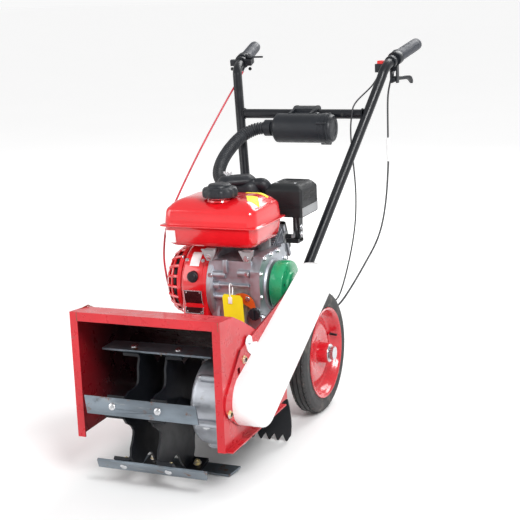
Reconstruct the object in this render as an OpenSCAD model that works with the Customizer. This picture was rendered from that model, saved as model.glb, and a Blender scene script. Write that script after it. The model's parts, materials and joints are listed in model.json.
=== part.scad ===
// Walk-behind trencher: a six-bar rotor under a hood, driven by belt and gears from an engine on two wheels.
// Millimetres. +X is the belt side, -Y the rotor end, +Y the operator, +Z up. Z = 0 is the ground.

/* [Rotor] */
// Height of the rotor axis above the ground
rotor_z = 153.4; // [153:0.1:156]
// Radius at the middle of a cutter bar's inner face
bar_r = 146.5; // [144:0.5:147]
// Length of a cutter bar along the axle
bar_len = 276; // [250:2:280]
// Width of a cutter bar
bar_w = 38; // [30:1:38]
// Thickness of a cutter bar
bar_t = 5; // [4:0.5:5]
// Turn of the first bar below the forward direction, in degrees
first_bar_angle = -17.7; // [-25:0.1:-15]

/* [Hood] */
// Outer face of the left wall
hood_left = -213; // [-220:1:-210]
// Outer face of the right wall
hood_right = 140.5; // [140:0.5:141]
// Front edge of the hood
hood_front = -556; // [-560:1:-550]
// Sheet thickness of the hood
sheet = 3; // [2:0.5:3]

/* [Engine] */
// Distance of the crankshaft behind the origin
crank_y = -100; // [-102:1:-98]
// Height of the crankshaft
crank_z = 362; // [360:1:363]
// Radius of the green clutch drum
drum_r = 59; // [50:1:60]
// Height of the fuel tank's seam flange
tank_z = 514; // [512:1:518]

/* [Wheels] */
// Outer radius of a tyre, and height of the axle
wheel_r = 151; // [148:1:152]
// Radius of the rim
rim_r = 112; // [108:1:114]
// Distance of the axle behind the origin
axle_y = 55; // [50:1:58]

/* [Handlebars] */
// Outer diameter of the handlebar tube
tube_d = 25; // [22:1:26]
// Outer diameter of a grip
grip_d = 33; // [31:1:34]

/* [Hidden] */
$fn = 48;
rotor_y = -438;
gear_gap = 56;
gear_lean = 114.6;
input_y = rotor_y + gear_gap * cos(gear_lean);
input_z = rotor_z + gear_gap * sin(gear_lean);
belt_dy = crank_y - input_y;
belt_dz = crank_z - input_z;
belt_len = sqrt(belt_dy * belt_dy + belt_dz * belt_dz);
belt_rise = atan2(belt_dz, belt_dy);
driven_r = 50;
drive_r = 35;
belt_x = 175;
case_y = -448;
case_z = 187;
case_r = 94;
case_bolt_r = case_r + 1;
shaft_r = 15;
input_r = 8.5;
crank_r = 12.5;
run_gap = 0.05;
rail_x = 40;
rail_top = 218;
scraper_lean = 9;
deck_z = 256;
engine_bolt_ys = [-183, -17];
filler_x = 62;
filler_z = 312;
wheel_in = 95;
wheel_out = 147;
tank_left = -175;
tank_right = 79;
tank_front = -203;
tank_back = -11;
tank_top = 576;
cap_x = -33;
cap_y = -150;
bar_angles = [for (i = [0:5]) first_bar_angle + 60 * i];
bolt_xs = [-108, 0.3];
// Bolts that hold the belt cover's back plate, as Y and Z
plate_bolts = [[-536, 192], [-451, 286]];
// Slot through the back plate and the hood wall, as its Y and Z ranges
plate_slot = [-486, -473, 262, 276];
plate_xs = [-87, -21];
// Radius of a rotor plate's corners beside each tab
tab_reach = 144.5;
// Sheet profile of the hood seen from the side, from the front lip over the top to the rear wall
hood_profile = [[-556, 395], [-488, 389], [-437, 365], [-391, 340], [-205, 238]];
// Handlebar route: foot, crossbar height, bend and grip end, for the +X side
bar_route = [[38, 48, 219], [109, 184, 470], [180, 320, 721], [203.5, 366, 806], [208, 375, 824],
    [212, 389, 838], [216, 412, 847], [221.5, 452, 856], [224, 464, 859]];
grip_start = [221.5, 465, 859];
grip_end = [240.6, 583, 884.5];
red_route = [[-214, 440, 838], [-213, 420, 822], [-210, 300, 758], [-204, 120, 658], [-194, -40, 566],
    [-190, -120, 508], [-189, -148, 454], [-189, -150, 400], [-188, -125, 330], [-178, -72, 282],
    [-152, -22, 296], [-122, 14, 314], [-100, 12, 318], [-95, -15, 320]];
clutch_route = [[211, 452, 816], [196, 472, 786], [190, 470, 743], [195, 450, 651], [202, 425, 573],
    [203, 390, 470], [196, 350, 395], [174, 300, 331], [128, 240, 240], [96, 215, 214], [80, 170, 207],
    [74, 90, 218], [80, 30, 226], [84, -30, 234], [90, -90, 240], [104, -140, 256], [128, -170, 278],
    [138, -182, 292]];
wire_route = [[190, 404, 822], [178, 372, 790], [152, 312, 752], [144, 302, 721], [141, 299, 661],
    [154, 290, 513], [150, 270, 396], [124, 235, 262], [96, 214, 232], [76, 160, 226], [60, 110, 240],
    [40, 60, 270], [20, 22, 292]];
hose_route = [[-67, 265, 689], [-86, 262, 690], [-112, 252, 686], [-136, 225, 672], [-148, 180, 649],
    [-150, 130, 624], [-143, 88, 601], [-128, 62, 585], [-106, 48, 576]];

// Basic shapes laid along the X axis
module block(x0, x1, y0, y1, z0, z1) {
    translate([x0, y0, z0]) cube([x1 - x0, y1 - y0, z1 - z0]);
}

module rod(r, x0, x1, y, z) {
    translate([x0, y, z]) rotate([0, 90, 0]) cylinder(r = r, h = x1 - x0);
}

module side_plate(points, x0, x1) {
    translate([x0, 0, 0]) rotate([90, 0, 90]) linear_extrude(height = x1 - x0) polygon(points);
}

module at_line(a, b) {
    d = b - a;
    flat = sqrt(d[0] * d[0] + d[1] * d[1]);
    translate(a) rotate([0, atan2(flat, d[2]), atan2(d[1], d[0])]) children();
}

module rod_between(a, b, r) {
    at_line(a, b) cylinder(r = r, h = norm(b - a));
}

module hex_head(r, h) {
    cylinder(r = r, h = h, $fn = 6);
}

// Smooth path through route points, and a tube swept along it
function unit(v) = v / norm(v);
function spline(a, b, c, d, t) =
    0.5 * (2 * b + (c - a) * t + (2 * a - 5 * b + 4 * c - d) * t * t + (3 * b - a - 3 * c + d) * t * t * t);
function smooth(p, n) = let (last = len(p) - 1) concat(
    [for (i = [0:last - 1]) for (k = [0:n - 1])
        spline(p[max(i - 1, 0)], p[i], p[i + 1], p[min(i + 2, last)], k / n)],
    [p[last]]);
function ring(path, i, r, sides, side) = let (
    n = len(path),
    t = unit(path[min(i + 1, n - 1)] - path[max(i - 1, 0)]),
    u = unit(cross(t, side)),
    v = cross(t, u))
    [for (k = [0:sides - 1]) path[i] + r * (cos(360 * k / sides) * u + sin(360 * k / sides) * v)];
function side_faces(n, sides, base, flip) = [for (i = [0:n - 2]) for (k = [0:sides - 1]) let (
    a = base + i * sides + k,
    b = base + i * sides + (k + 1) % sides,
    quad = [a, a + sides, b + sides, b]) flip ? [quad[3], quad[2], quad[1], quad[0]] : quad];

module cable(path, r, sides, side) {
    n = len(path);
    points = [for (i = [0:n - 1]) for (q = ring(path, i, r, sides, side)) q];
    start = [for (k = [0:sides - 1]) k];
    end = [for (k = [sides - 1:-1:0]) (n - 1) * sides + k];
    polyhedron(points = points, faces = concat([start], side_faces(n, sides, 0, false), [end]));
}

module pipe(path, r, wall, sides, side) {
    n = len(path);
    outer = [for (i = [0:n - 1]) for (q = ring(path, i, r, sides, side)) q];
    inner = [for (i = [0:n - 1]) for (q = ring(path, i, r - wall, sides, side)) q];
    base = n * sides;
    top = (n - 1) * sides;
    first = [for (k = [0:sides - 1]) [k, (k + 1) % sides, base + (k + 1) % sides, base + k]];
    last = [for (k = [0:sides - 1]) [top + k, base + top + k, base + top + (k + 1) % sides,
        top + (k + 1) % sides]];
    polyhedron(points = concat(outer, inner),
        faces = concat(side_faces(n, sides, 0, false), side_faces(n, sides, base, true), first, last));
}

// Hood: two side walls with front flanges, and the sheet bent over the rotor
module hood_wall(x0, x1, flange_x0, flange_x1) {
    side_plate(concat([[hood_front, 112]], hood_profile, [[-205, 117]]), x0, x1);
    block(flange_x0, flange_x1, hood_front, hood_front + sheet, 112, 395);
}

module hood_left_wall() {
    color("firebrick") hood_wall(hood_left, hood_left + sheet, hood_left + sheet, hood_left + 18);
}

module hood_right_wall() {
    color("firebrick") difference() {
        union() {
            hood_wall(hood_right - sheet, hood_right, hood_right - 18, hood_right - sheet);
            side_plate([[-552, 112], [-250, 116], [-250, 119], [-552, 115]], hood_right, hood_right + 16);
        }
        rod(13, 130, 150, input_y, input_z);
        block(130, 150, plate_slot[0], plate_slot[1], plate_slot[2], plate_slot[3]);
    }
}

module hood_top() {
    under = [for (p = hood_profile) [p[0] + (p[0] == hood_front ? sheet : 0), p[1] - sheet * 1.12]];
    color("firebrick") side_plate(concat([[-556, 375]], [hood_profile[0]], [for (i = [1:4]) hood_profile[i]],
        [[-205, 117], [-208, 117]], [[-208, 236.3]], [under[3], under[2], under[1], under[0]], [[-553, 375]]),
        hood_left + sheet + 15.2, hood_right - sheet - 15.2);
    color("firebrick") for (x = [hood_left + sheet, hood_right - sheet - 15.2])
        side_plate([[-552.8, 391], [-488, 385.6], [-437, 361.6], [-391, 336.6], [-208, 236.3], [-208, 117],
            [-205, 117], [-205, 238], [-391, 340], [-437, 365], [-488, 389], [-552.8, 394.6]], x, x + 15.2);
}

module rear_scraper() {
    teeth = 16;
    pitch = 350 / teeth;
    color("dimgray") translate([hood_left + 3.5, -203.5, 112]) rotate([90 + scraper_lean, 0, 0])
        translate([0, 0, -4]) linear_extrude(height = 4) polygon(concat([[0, 0], [0, -96]],
            [for (i = [0:teeth - 1]) each [[i * pitch + 4, -112], [i * pitch + 9, -112],
                [i * pitch + pitch, -96]]], [[350, 0]]));
}

// Gearbox
module gearbox_case() {
    color("silver") difference() {
        union() {
            rod(case_r, 50, 125, case_y, case_z);
            rod(34, 42, 50, rotor_y, rotor_z);
            for (i = [0:5]) rod(8, 62, 125, case_y + case_bolt_r * cos(60 * i + 12),
                case_z + case_bolt_r * sin(60 * i + 12));
        }
        rod(case_r - 6, 72, 126, case_y, case_z);
        rod(27.5, 58, 73, rotor_y, rotor_z);
        rod(shaft_r + 1, 40, 59, rotor_y, rotor_z);
        rod(20, 58, 73, input_y, input_z);
        for (i = [0:5]) rod(3.5, 100, 126, case_y + case_bolt_r * cos(60 * i + 12),
                case_z + case_bolt_r * sin(60 * i + 12));
    }
}

module gearbox_cover() {
    color("silver") difference() {
        union() {
            rod(case_r, 125, 137, case_y, case_z);
            rod(33, 111, 125, rotor_y, rotor_z);
            rod(25, 111, 125, input_y, input_z);
        }
        rod(27.5, 110, 125, rotor_y, rotor_z);
        rod(20, 110, 125, input_y, input_z);
        rod(10, 124, 138, input_y, input_z);
    }
}

module gearbox_bearings() {
    color("lightsteelblue") for (x = [58, 112]) {
        difference() {
            rod(27.5, x, x + 12, rotor_y, rotor_z);
            rod(shaft_r, x - 1, x + 13, rotor_y, rotor_z);
        }
        difference() {
            rod(20, x, x + 12, input_y, input_z);
            rod(input_r, x - 1, x + 13, input_y, input_z);
        }
    }
}

function tooth(a, root, tip, half) = [
    [root * cos(a - 1.46 * half / root * 57.3), root * sin(a - 1.46 * half / root * 57.3)],
    [tip * cos(a - 0.54 * half / tip * 57.3), tip * sin(a - 0.54 * half / tip * 57.3)],
    [tip * cos(a + 0.54 * half / tip * 57.3), tip * sin(a + 0.54 * half / tip * 57.3)],
    [root * cos(a + 1.46 * half / root * 57.3), root * sin(a + 1.46 * half / root * 57.3)]];

// Spur gear of module 2; the first tooth, or with gap set the first gap, points along the given angle
module spur_gear(teeth, angle, gap, x0, x1, bore) {
    step = 360 / teeth;
    translate([x0, 0, 0]) rotate([90, 0, 90]) linear_extrude(height = x1 - x0) difference() {
        polygon([for (i = [0:teeth - 1])
            each tooth(angle + step * (i + gap), teeth - 2.4, teeth + 1.9, 1.3)]);
        circle(r = bore);
    }
}

module output_shaft() {
    color("lightgray") {
        rod(shaft_r - run_gap, -104, 124, rotor_y, rotor_z);
        translate([0, rotor_y, rotor_z]) spur_gear(42, gear_lean, 0.5, 78, 100, shaft_r - run_gap - 0.5);
    }
}

module input_shaft() {
    color("lightgray") {
        rod(input_r - run_gap, 58.5, 192, input_y, input_z);
        translate([0, input_y, input_z]) spur_gear(14, gear_lean + 180, 0, 77, 101, input_r - run_gap - 0.5);
    }
}

// Rotor
module on_bar(i) {
    translate([0, rotor_y, rotor_z]) rotate([180 + bar_angles[i], 0, 0]) children();
}

module rotor_carrier() {
    color("dimgray") {
        for (x = plate_xs) difference() {
            union() {
                translate([x - 2.5, rotor_y, rotor_z]) rotate([90, 0, 90]) linear_extrude(height = 5)
                    polygon([for (i = [0:5]) let (a = 180 + bar_angles[i]) each [
                        tab_reach * [cos(a - 11), sin(a - 11)], tab_reach * [cos(a + 11), sin(a + 11)],
                        [104 * cos(a + 26), 104 * sin(a + 26)], [98 * cos(a + 30), 98 * sin(a + 30)],
                        [104 * cos(a + 34), 104 * sin(a + 34)]]]);
                for (i = [0:5]) on_bar(i) block(x < -50 ? x - 38 : x - 1.5, x < -50 ? x + 1.5 : x + 38,
                    bar_r - 7, bar_r, -24, 24);
            }
            rod(shaft_r - run_gap, x - 5, x + 5, rotor_y, rotor_z);
            for (i = [0:5]) on_bar(i) translate([x < -50 ? bolt_xs[0] : bolt_xs[1], bar_r - 9, 0])
                rotate([-90, 0, 0]) cylinder(r = 4, h = 12);
        }
        for (span = [[-100, -89.5], [-84.5, -23.5], [-18.5, 12]]) difference() {
            rod(24, span[0], span[1], rotor_y, rotor_z);
            rod(shaft_r - run_gap, span[0] - 1, span[1] + 1, rotor_y, rotor_z);
        }
    }
}

module cutter_bars() {
    left = -40.6 - bar_len / 2;
    color("slategray") for (i = [0:5]) on_bar(i) difference() {
        slant = i % 2 == 0 ? 12 : -12;
        translate([0, bar_r + bar_t, 0]) rotate([90, 0, 0]) linear_extrude(height = bar_t)
            polygon([[left + max(slant, 0), bar_w / 2], [left + max(-slant, 0), -bar_w / 2],
                [left + bar_len - max(slant, 0), -bar_w / 2], [left + bar_len - max(-slant, 0), bar_w / 2]]);
        for (x = bolt_xs) translate([x, bar_r - 1, 0]) rotate([-90, 0, 0]) cylinder(r = 4, h = 8);
    }
}

module rotor_bolts() {
    color("khaki") for (i = [0:5]) on_bar(i) for (x = bolt_xs) translate([x, bar_r, 0]) rotate([-90, 0, 0]) {
        translate([0, 0, bar_t]) cylinder(r1 = 8.5, r2 = 6.5, h = 3.5);
        translate([0, 0, -18]) cylinder(r = 4, h = 18 + bar_t);
        translate([0, 0, -14]) hex_head(7.5, 7);
    }
}

// Belt drive
module cover_outline(lower_r, wall) {
    hull() {
        translate([input_y, input_z]) circle(r = lower_r - wall, $fn = 40);
        polygon([[-89 + wall, 414 - wall], [-40 - wall, 406 - wall], [-62 - wall, 333 + wall],
            [-130, 366]]);
    }
}

module cover_back_plate() {
    color("firebrick") translate([hood_right + 0.2, 0, 0]) difference() {
        union() {
            rotate([90, 0, 90]) linear_extrude(height = 4) hull() {
                translate([input_y, input_z]) circle(r = 61, $fn = 40);
                translate([-516, 212]) circle(r = 36, $fn = 32);
                polygon([[-465, 311], [-120, 382], [-66, 396], [-76, 336], [-120, 322]]);
            }
            translate([-hood_right - 0.2, 0, 0]) along_belt(140, 0) rod(6, hood_right + 4, 160, 0, 0);
        }
        rod(12, -2, 6, input_y, input_z);
        rod(22, -2, 6, crank_y, crank_z);
        for (p = plate_bolts) rod(4, -2, 6, p[0], p[1]);
        block(-2, 6, plate_slot[0], plate_slot[1], plate_slot[2], plate_slot[3]);
    }
}

module belt_cover() {
    color("white") difference() {
        union() {
            translate([144.8, 0, 0]) rotate([90, 0, 90]) linear_extrude(height = 58)
                cover_outline(59, 0);
            block(144.8, 147, -420, -340, 300, 338);
        }
        translate([140, 0, 0]) rotate([90, 0, 90]) linear_extrude(height = 60.8)
            cover_outline(59, 2.5);
        rod(4, 140, 150, -404, 322);
    }
}

module belt_loop(grow, x0, x1) {
    translate([x0, 0, 0]) rotate([90, 0, 90]) linear_extrude(height = x1 - x0) hull() {
        translate([input_y, input_z]) circle(r = driven_r + grow, $fn = 64);
        translate([crank_y, crank_z]) circle(r = drive_r + grow, $fn = 64);
    }
}

module drive_belt() {
    color("black") difference() {
        belt_loop(3, belt_x - 6, belt_x + 6);
        belt_loop(-7, belt_x - 7, belt_x + 7);
    }
}

module pulley(r, y, z, bore, hub) {
    difference() {
        union() {
            rod(r + 4, belt_x - 10, belt_x - 7, y, z);
            rod(r - 8, belt_x - 7, belt_x + 7, y, z);
            rod(r + 4, belt_x + 7, belt_x + 10, y, z);
            rod(hub, belt_x - 16, belt_x + 12, y, z);
        }
        rod(bore, 140, 200, y, z);
    }
}

module driven_pulley() {
    color("gray") pulley(driven_r, input_y, input_z, input_r - run_gap, 18);
}

module drive_pulley() {
    color("gray") pulley(drive_r, crank_y, crank_z, crank_r, 22);
}

module along_belt(s, up) {
    translate([0, input_y, input_z]) rotate([belt_rise, 0, 0]) translate([0, s, up]) children();
}

module idler_arm() {
    color("goldenrod") difference() {
        union() {
            along_belt(140, 0) rod(13, 153, 158, 0, 0);
            along_belt(140, 0) rotate([7.7, 0, 0]) block(153, 158, 0, 61, -8, 8);
            along_belt(140, 0) rotate([7.7, 0, 0]) rod(10, 153, 158, 61, 0);
            along_belt(140, 0) rotate([7.7, 0, 0]) rod(5, 158, 184, 61, 0);
        }
        along_belt(140, 0) rod(6 + run_gap, 150, 160, 0, 0);
    }
}

module idler_roller() {
    color("dimgray") along_belt(140, 0) rotate([7.7, 0, 0]) difference() {
        rod(13, 160, 182, 61, 0);
        rod(5 + run_gap, 159, 183, 61, 0);
    }
}

// Chassis, axle and wheels
module chassis_frame() {
    color("firebrick") {
        for (x = [-rail_x, rail_x]) {
            block(x - 15, x + 15, -204.5, 92, 188, rail_top);
            difference() {
                block(x - 4, x + 4, axle_y - 22, axle_y + 22, 128, 188);
                rod(10, x - 6, x + 6, axle_y, wheel_r);
            }
        }
        for (y = [-190, -35]) block(-70, 70, y, y + 25, rail_top, 248);
        difference() {
            block(-90, 90, -196, -4, 248, deck_z);
            for (x = [-rail_x, rail_x]) for (y = engine_bolt_ys)
                translate([x, y, 240]) cylinder(r = 4.5, h = 20);
        }
        block(-56, 56, 92, 96, 188, rail_top);
        block(112, 137, -204.6, -196, 113, 136);
    }
}

module wheel_axle() {
    color("silver") {
        rod(10, -168, 168, axle_y, wheel_r);
        for (x = [-168, 160]) difference() {
            rod(17, x, x + 8, axle_y, wheel_r);
            rod(10, x - 1, x + 9, axle_y, wheel_r);
        }
    }
}

module about_wheel(side) {
    translate([side * (wheel_in + wheel_out) / 2, axle_y, wheel_r]) rotate([0, side * 90, 0]) children();
}

module tyre(side) {
    color([0.12, 0.12, 0.12]) about_wheel(side) rotate_extrude()
        polygon([[rim_r - 3, -20], [rim_r + 12, -25], [rim_r + 26, -26], [wheel_r - 4, -20], [wheel_r, -10],
            [wheel_r, 10], [wheel_r - 4, 20], [rim_r + 26, 26], [rim_r + 12, 25], [rim_r - 3, 20]]);
}

module rim(side) {
    color("crimson") about_wheel(side) difference() {
        rotate_extrude() polygon([[10 + run_gap, -30], [24, -30], [24, -3], [62, 4], [88, -4],
            [rim_r - 7, -6],
            [rim_r - 3.2, -20], [rim_r - 3.2, 20], [rim_r - 7, 20], [rim_r - 7, 0], [88, 2], [62, 10],
            [30, 6], [24, 36], [10 + run_gap, 36]]);
        for (i = [0:3]) rotate([0, 0, 90 * i + 45]) translate([42, 0, -12]) cylinder(r = 4, h = 30);
    }
}

module left_tyre() {
    tyre(-1);
}

module right_tyre() {
    tyre(1);
}

module left_rim() {
    rim(-1);
}

module right_rim() {
    rim(1);
}

// Engine
module crankcase() {
    color("silver") difference() {
        union() {
            block(-54, 50, -178, -24, 268, 432);
            block(-54, 50, -188, -12, deck_z, 268);
            rod(70, -60, -54, crank_y, crank_z);
            rod(7, -50, 40, -180, 345);
        }
        rod(52, -44, 51, crank_y, crank_z);
        rod(crank_r + run_gap, -62, -40, crank_y, crank_z);
        for (x = [-rail_x, rail_x]) for (y = engine_bolt_ys)
            translate([x, y, deck_z - 1]) cylinder(r = 4.5, h = 14);
    }
}

module crankcase_cover() {
    color("silver") difference() {
        union() {
            side_plate([[-182, 262], [-18, 262], [-12, 300], [-12, 420], [-40, 442], [-160, 442], [-186, 410],
                [-186, 300]], 50, 74);
            translate([filler_x, -189, filler_z]) rotate([-90, 0, 0]) cylinder(r = 11.5, h = 20);
            rod(34, 74, 80, crank_y, crank_z);
        }
        rod(crank_r + run_gap, 48, 90, crank_y, crank_z);
        translate([filler_x, -206, filler_z]) rotate([-90, 0, 0]) cylinder(r = 8, h = 40);
    }
}

module from_crank() {
    translate([0, crank_y, crank_z]) rotate([25, 0, 0]) children();
}

module cylinder_block() {
    color("silver") from_crank() {
        block(-42, 42, 78, 168, -42, 42);
        for (i = [0:8]) block(-54, 49.6, 86 + 8.5 * i, 89 + 8.5 * i, -46, 48);
        block(-52, 49.6, 168, 178, -46, 46);
    }
}

module head_cover() {
    color("dimgray") from_crank() {
        block(-44, 44, 178, 200, -40, 40);
        block(-34, 34, 200, 206, -30, 30);
    }
}

module spark_plug() {
    color("black") from_crank() {
        translate([-54, 158, 20]) rotate([0, -90, 0]) cylinder(r = 6, h = 10);
        translate([-64, 158, 20]) rotate([0, -90, 0]) cylinder(r = 9, h = 26);
    }
}

module crankshaft() {
    color("lightgray") {
        rod(crank_r, -126, 196, crank_y, crank_z);
        for (x = [-22, 10]) rod(40, x, x + 12, crank_y, crank_z);
    }
}

module flywheel() {
    color("gray") difference() {
        union() {
            rod(78, -108, -84, crank_y, crank_z);
            rod(24, -122, -108, crank_y, crank_z);
        }
        rod(crank_r, -124, -80, crank_y, crank_z);
    }
}

module clutch_drum() {
    color("seagreen") difference() {
        union() {
            rod(drum_r, 84, 118, crank_y, crank_z);
            rod(30, 118, 122, crank_y, crank_z);
            rod(20, 122, 126, crank_y, crank_z);
        }
        rod(crank_r, 80, 130, crank_y, crank_z);
        rod(4, 100, 120, crank_y - 42, crank_z + 10);
    }
}

module fan_cover() {
    color("firebrick") difference() {
        union() {
            rod(95, -130, -60.2, crank_y, crank_z);
            block(-130, -60.2, -190, -62, deck_z + 2, 330);
        }
        rod(92, -127, -60, crank_y, crank_z);
        block(-127, -60, -187, -65, 250, 330);
        rod(60, -132, -126, crank_y, crank_z);
    }
}

module recoil_housing() {
    color("firebrick") difference() {
        union() {
            rod(86, -140, -130.2, crank_y, crank_z);
            translate([-140, crank_y, crank_z]) rotate([0, -90, 0]) cylinder(r1 = 86, r2 = 62, h = 38);
        }
        rod(83, -141, -130, crank_y, crank_z);
        translate([-139, crank_y, crank_z]) rotate([0, -90, 0]) cylinder(r1 = 84, r2 = 59, h = 36);
        for (i = [0:11]) translate([0, crank_y, crank_z]) rotate([30 * i, 0, 0])
            block(-190, -170, 30, 48, -4, 4);
    }
}

module tank_layer(inset, z0, z1, r) {
    translate([0, 0, z0]) linear_extrude(height = z1 - z0) hull()
        for (x = [tank_left + inset + r, tank_right - inset - r])
            for (y = [tank_front + inset + r, tank_back - inset - r])
                translate([x, y]) circle(r = r, $fn = 24);
}

module fuel_tank() {
    color("crimson") difference() {
        union() {
            hull() {
                tank_layer(8, tank_z - 40, tank_z + 34, 22);
                tank_layer(22, 462, 470, 24);
                tank_layer(30, tank_top - 6, tank_top, 20);
            }
            tank_layer(0, tank_z - 1.5, tank_z + 1.5, 16);
            translate([cap_x, cap_y, tank_top - 4]) cylinder(r = 26, h = 7);
        }
        hull() {
            tank_layer(10, tank_z - 38, tank_z + 32, 20);
            tank_layer(25, 465, 470, 22);
            tank_layer(33, tank_top - 9, tank_top - 3, 18);
        }
        translate([cap_x, cap_y, tank_top - 16]) cylinder(r = 20, h = 30);
    }
}

module fuel_cap() {
    color([0.15, 0.15, 0.15]) translate([cap_x, cap_y, tank_top]) difference() {
        union() {
            translate([0, 0, -10]) cylinder(r = 20 - run_gap, h = 14);
            translate([0, 0, 3.6]) cylinder(r1 = 41, r2 = 43, h = 15);
            translate([0, 0, 18.6]) cylinder(r1 = 43, r2 = 30, h = 17);
        }
        for (i = [0:9]) rotate([0, 0, 36 * i]) translate([46, 0, 3]) cylinder(r = 6, h = 34);
    }
}

module tank_brackets() {
    color("gray") {
        for (x = [-62, 34]) side_plate([[-178, 432], [-178, 461.5], [-196, 461.5], [-196, 456], [-184, 432]],
            x, x + 28);
        for (x = [-50, 20]) block(x, x + 30, -60, -49, 432, 461.5);
    }
}

module muffler() {
    color("dimgray") {
        side_plate([[36, 504], [36, 563], [44, 572], [131, 572], [138, 565], [138, 504]], 6, 96);
        translate([82, 42, 446]) cylinder(r = 9, h = 58);
        rod(9, 49.7, 82, 42, 446);
    }
}

module muffler_guard() {
    color([0.15, 0.15, 0.15]) difference() {
        side_plate([[30, 499], [30, 563], [46, 580], [134, 580], [146, 566], [146, 499]], 2, 102);
        side_plate([[33, 490], [33, 562], [47.3, 577], [132.7, 577], [143, 565], [143, 490]], 5, 99);
        for (z = [538, 552]) for (y = [52, 96]) block(96, 110, y, y + 30, z, z + 7);
        for (x = [18, 44, 70]) block(x, x + 18, 140, 150, 540, 547);
    }
}

module carburettor() {
    color("silver") {
        block(-62, -22, 20, 66, 492, 540);
        translate([-42, 43, 480]) cylinder(r = 14, h = 12);
        rod(5, -90, -62, 43, 512);
    }
}

module intake_elbow() {
    color([0.15, 0.15, 0.15]) {
        hull() {
            translate([-42, 43, 540]) cylinder(r = 34, h = 34, $fn = 32);
            translate([-50, 40, 585]) cylinder(r = 24, h = 14, $fn = 32);
            translate([-80, 43, 575]) rotate([0, 90, 0]) cylinder(r = 20, h = 20, $fn = 32);
        }
        hull() {
            translate([-84, 12, 580]) cylinder(r = 27, h = 12, $fn = 32);
            translate([-84, 12, 590]) cylinder(r = 17, h = 12, $fn = 32);
            translate([-50, 38, 581]) cylinder(r = 27, h = 17, $fn = 32);
        }
        rod(19, -106, -74, 45, 576);
        hull() {
            rod(16, -30, -26, 38, 574);
            rod(12, -2, 1.6, 44, 570);
        }
    }
}

module intake_hose() {
    color([0.12, 0.12, 0.12]) cable(smooth(hose_route, 4), 17, 12, [0, 1, -1]);
}

module filter_canister() {
    color([0.15, 0.15, 0.15]) difference() {
        union() {
            rod(38, -52, 84, 265, 690);
            rod(30, -60, -52, 265, 690);
            rod(20, -67, -60, 265, 690);
            for (x = [-18, 40]) block(x, x + 8, 262, 336, 705, 741);
            block(-26, 56, 290, 304, 712, 737);
            block(-18, 48, 304, 336, 735, 741);
        }
        rod(tube_d / 2, -40, 70, 320, 721);
        rod(34, -48, 90, 265, 690);
    }
}

module canister_lid() {
    color([0.12, 0.12, 0.12]) {
        rod(40, 84, 98, 265, 690);
        rod(36, 98, 107, 265, 690);
    }
}

module starter_grip() {
    color([0.1, 0.1, 0.1]) {
        rod(9, -188, -128, 6, 385);
        translate([-158, -15, 385]) rotate([-90, 0, 0]) cylinder(r = 6, h = 14);
    }
}

// Controls and handlebars
module mirrored(side) {
    mirror([side < 0 ? 1 : 0, 0, 0]) children();
}

module handlebar_tubes() {
    path = smooth(bar_route, 3);
    color([0.13, 0.13, 0.15]) for (side = [-1, 1]) mirrored(side) pipe(path, tube_d / 2, 2, 16, [1, 0, 0]);
}

module crossbar() {
    color([0.13, 0.13, 0.15]) difference() {
        rod(tube_d / 2, -168, 168, 320, 721);
        rod(tube_d / 2 - 2, -166, 166, 320, 721);
        translate([115, 300, 721]) rotate([-90, 0, 0]) cylinder(r = 4, h = 40);
    }
}

module handle_grips() {
    color([0.2, 0.2, 0.21]) for (side = [-1, 1]) mirrored(side) {
        rod_between(grip_start, grip_end, grip_d / 2);
        at_line(grip_start, grip_end) translate([0, 0, -4]) cylinder(r = grip_d / 2 + 3, h = 5);
    }
}

module on_grip(side, back) {
    mirrored(side) at_line([221, 452, 856.2], grip_end) translate([0, 0, -back]) children();
}

module throttle_clamp() {
    color([0.12, 0.12, 0.12]) {
        difference() {
            on_grip(-1, 18) difference() {
                union() {
                    cylinder(r = 20, h = 22);
                    translate([-8, 12, 0]) cube([16, 18, 18]);
                }
                translate([0, 0, -1]) cylinder(r = tube_d / 2 + 0.1, h = 25);
            }
            translate([-198, 441, 860.7]) cylinder(r = 13, h = 20);
        }
        translate([-198, 441, 850]) cylinder(r = 3, h = 18);
        on_grip(-1, 34) difference() {
            union() {
                cylinder(r = 17, h = 12);
                translate([-8, -30, 0]) cube([16, 60, 12]);
            }
            translate([0, 0, -1]) cylinder(r = tube_d / 2 + 0.1, h = 25);
        }
    }
}

module throttle_lever() {
    color([0.1, 0.1, 0.1]) translate([-198, 441, 861.5]) difference() {
        union() {
            cylinder(r = 8, h = 5);
            rotate([0, 0, 8]) block(0, 38, -5, 5, 0, 5);
        }
        translate([0, 0, -1]) cylinder(r = 3 + run_gap, h = 8);
    }
}

module clutch_bracket() {
    color([0.12, 0.12, 0.12]) difference() {
        union() {
            on_grip(1, 14) cylinder(r = 19, h = 20);
            block(206, 226, 441, 459, 822, 846);
            block(206, 211.5, 441, 459, 790, 823);
            block(222.2, 226, 441, 459, 790, 823);
            rod(3, 208, 224, 450, 800);
        }
        on_grip(1, 15) cylinder(r = tube_d / 2 + 0.1, h = 40);
    }
}

module clutch_lever() {
    color("gray") difference() {
        union() {
            rod(8, 212, 220, 450, 800);
            translate([0, 0, 795]) linear_extrude(height = 9)
                polygon([[212, 450], [220, 450], [237, 556], [229, 556]]);
        }
        rod(3 + run_gap, 210, 222, 450, 800);
    }
}

module switch_box() {
    color([0.1, 0.1, 0.1]) {
        difference() {
            block(178, 208, 398, 432, 822, 844);
            block(181.6, 198.4, 403.6, 426.4, 834, 846);
            at_line([208, 375, 824], [216, 412, 847]) cylinder(r = tube_d / 2 + 0.4, h = 90);
        }
        at_line([216, 412, 847], [221.5, 452, 856]) difference() {
            cylinder(r = 16, h = 12);
            translate([0, 0, -1]) cylinder(r = tube_d / 2 + 0.1, h = 14);
        }
    }
}

module stop_button() {
    color("red") block(182, 198, 404, 426, 838.5, 852);
}

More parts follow.
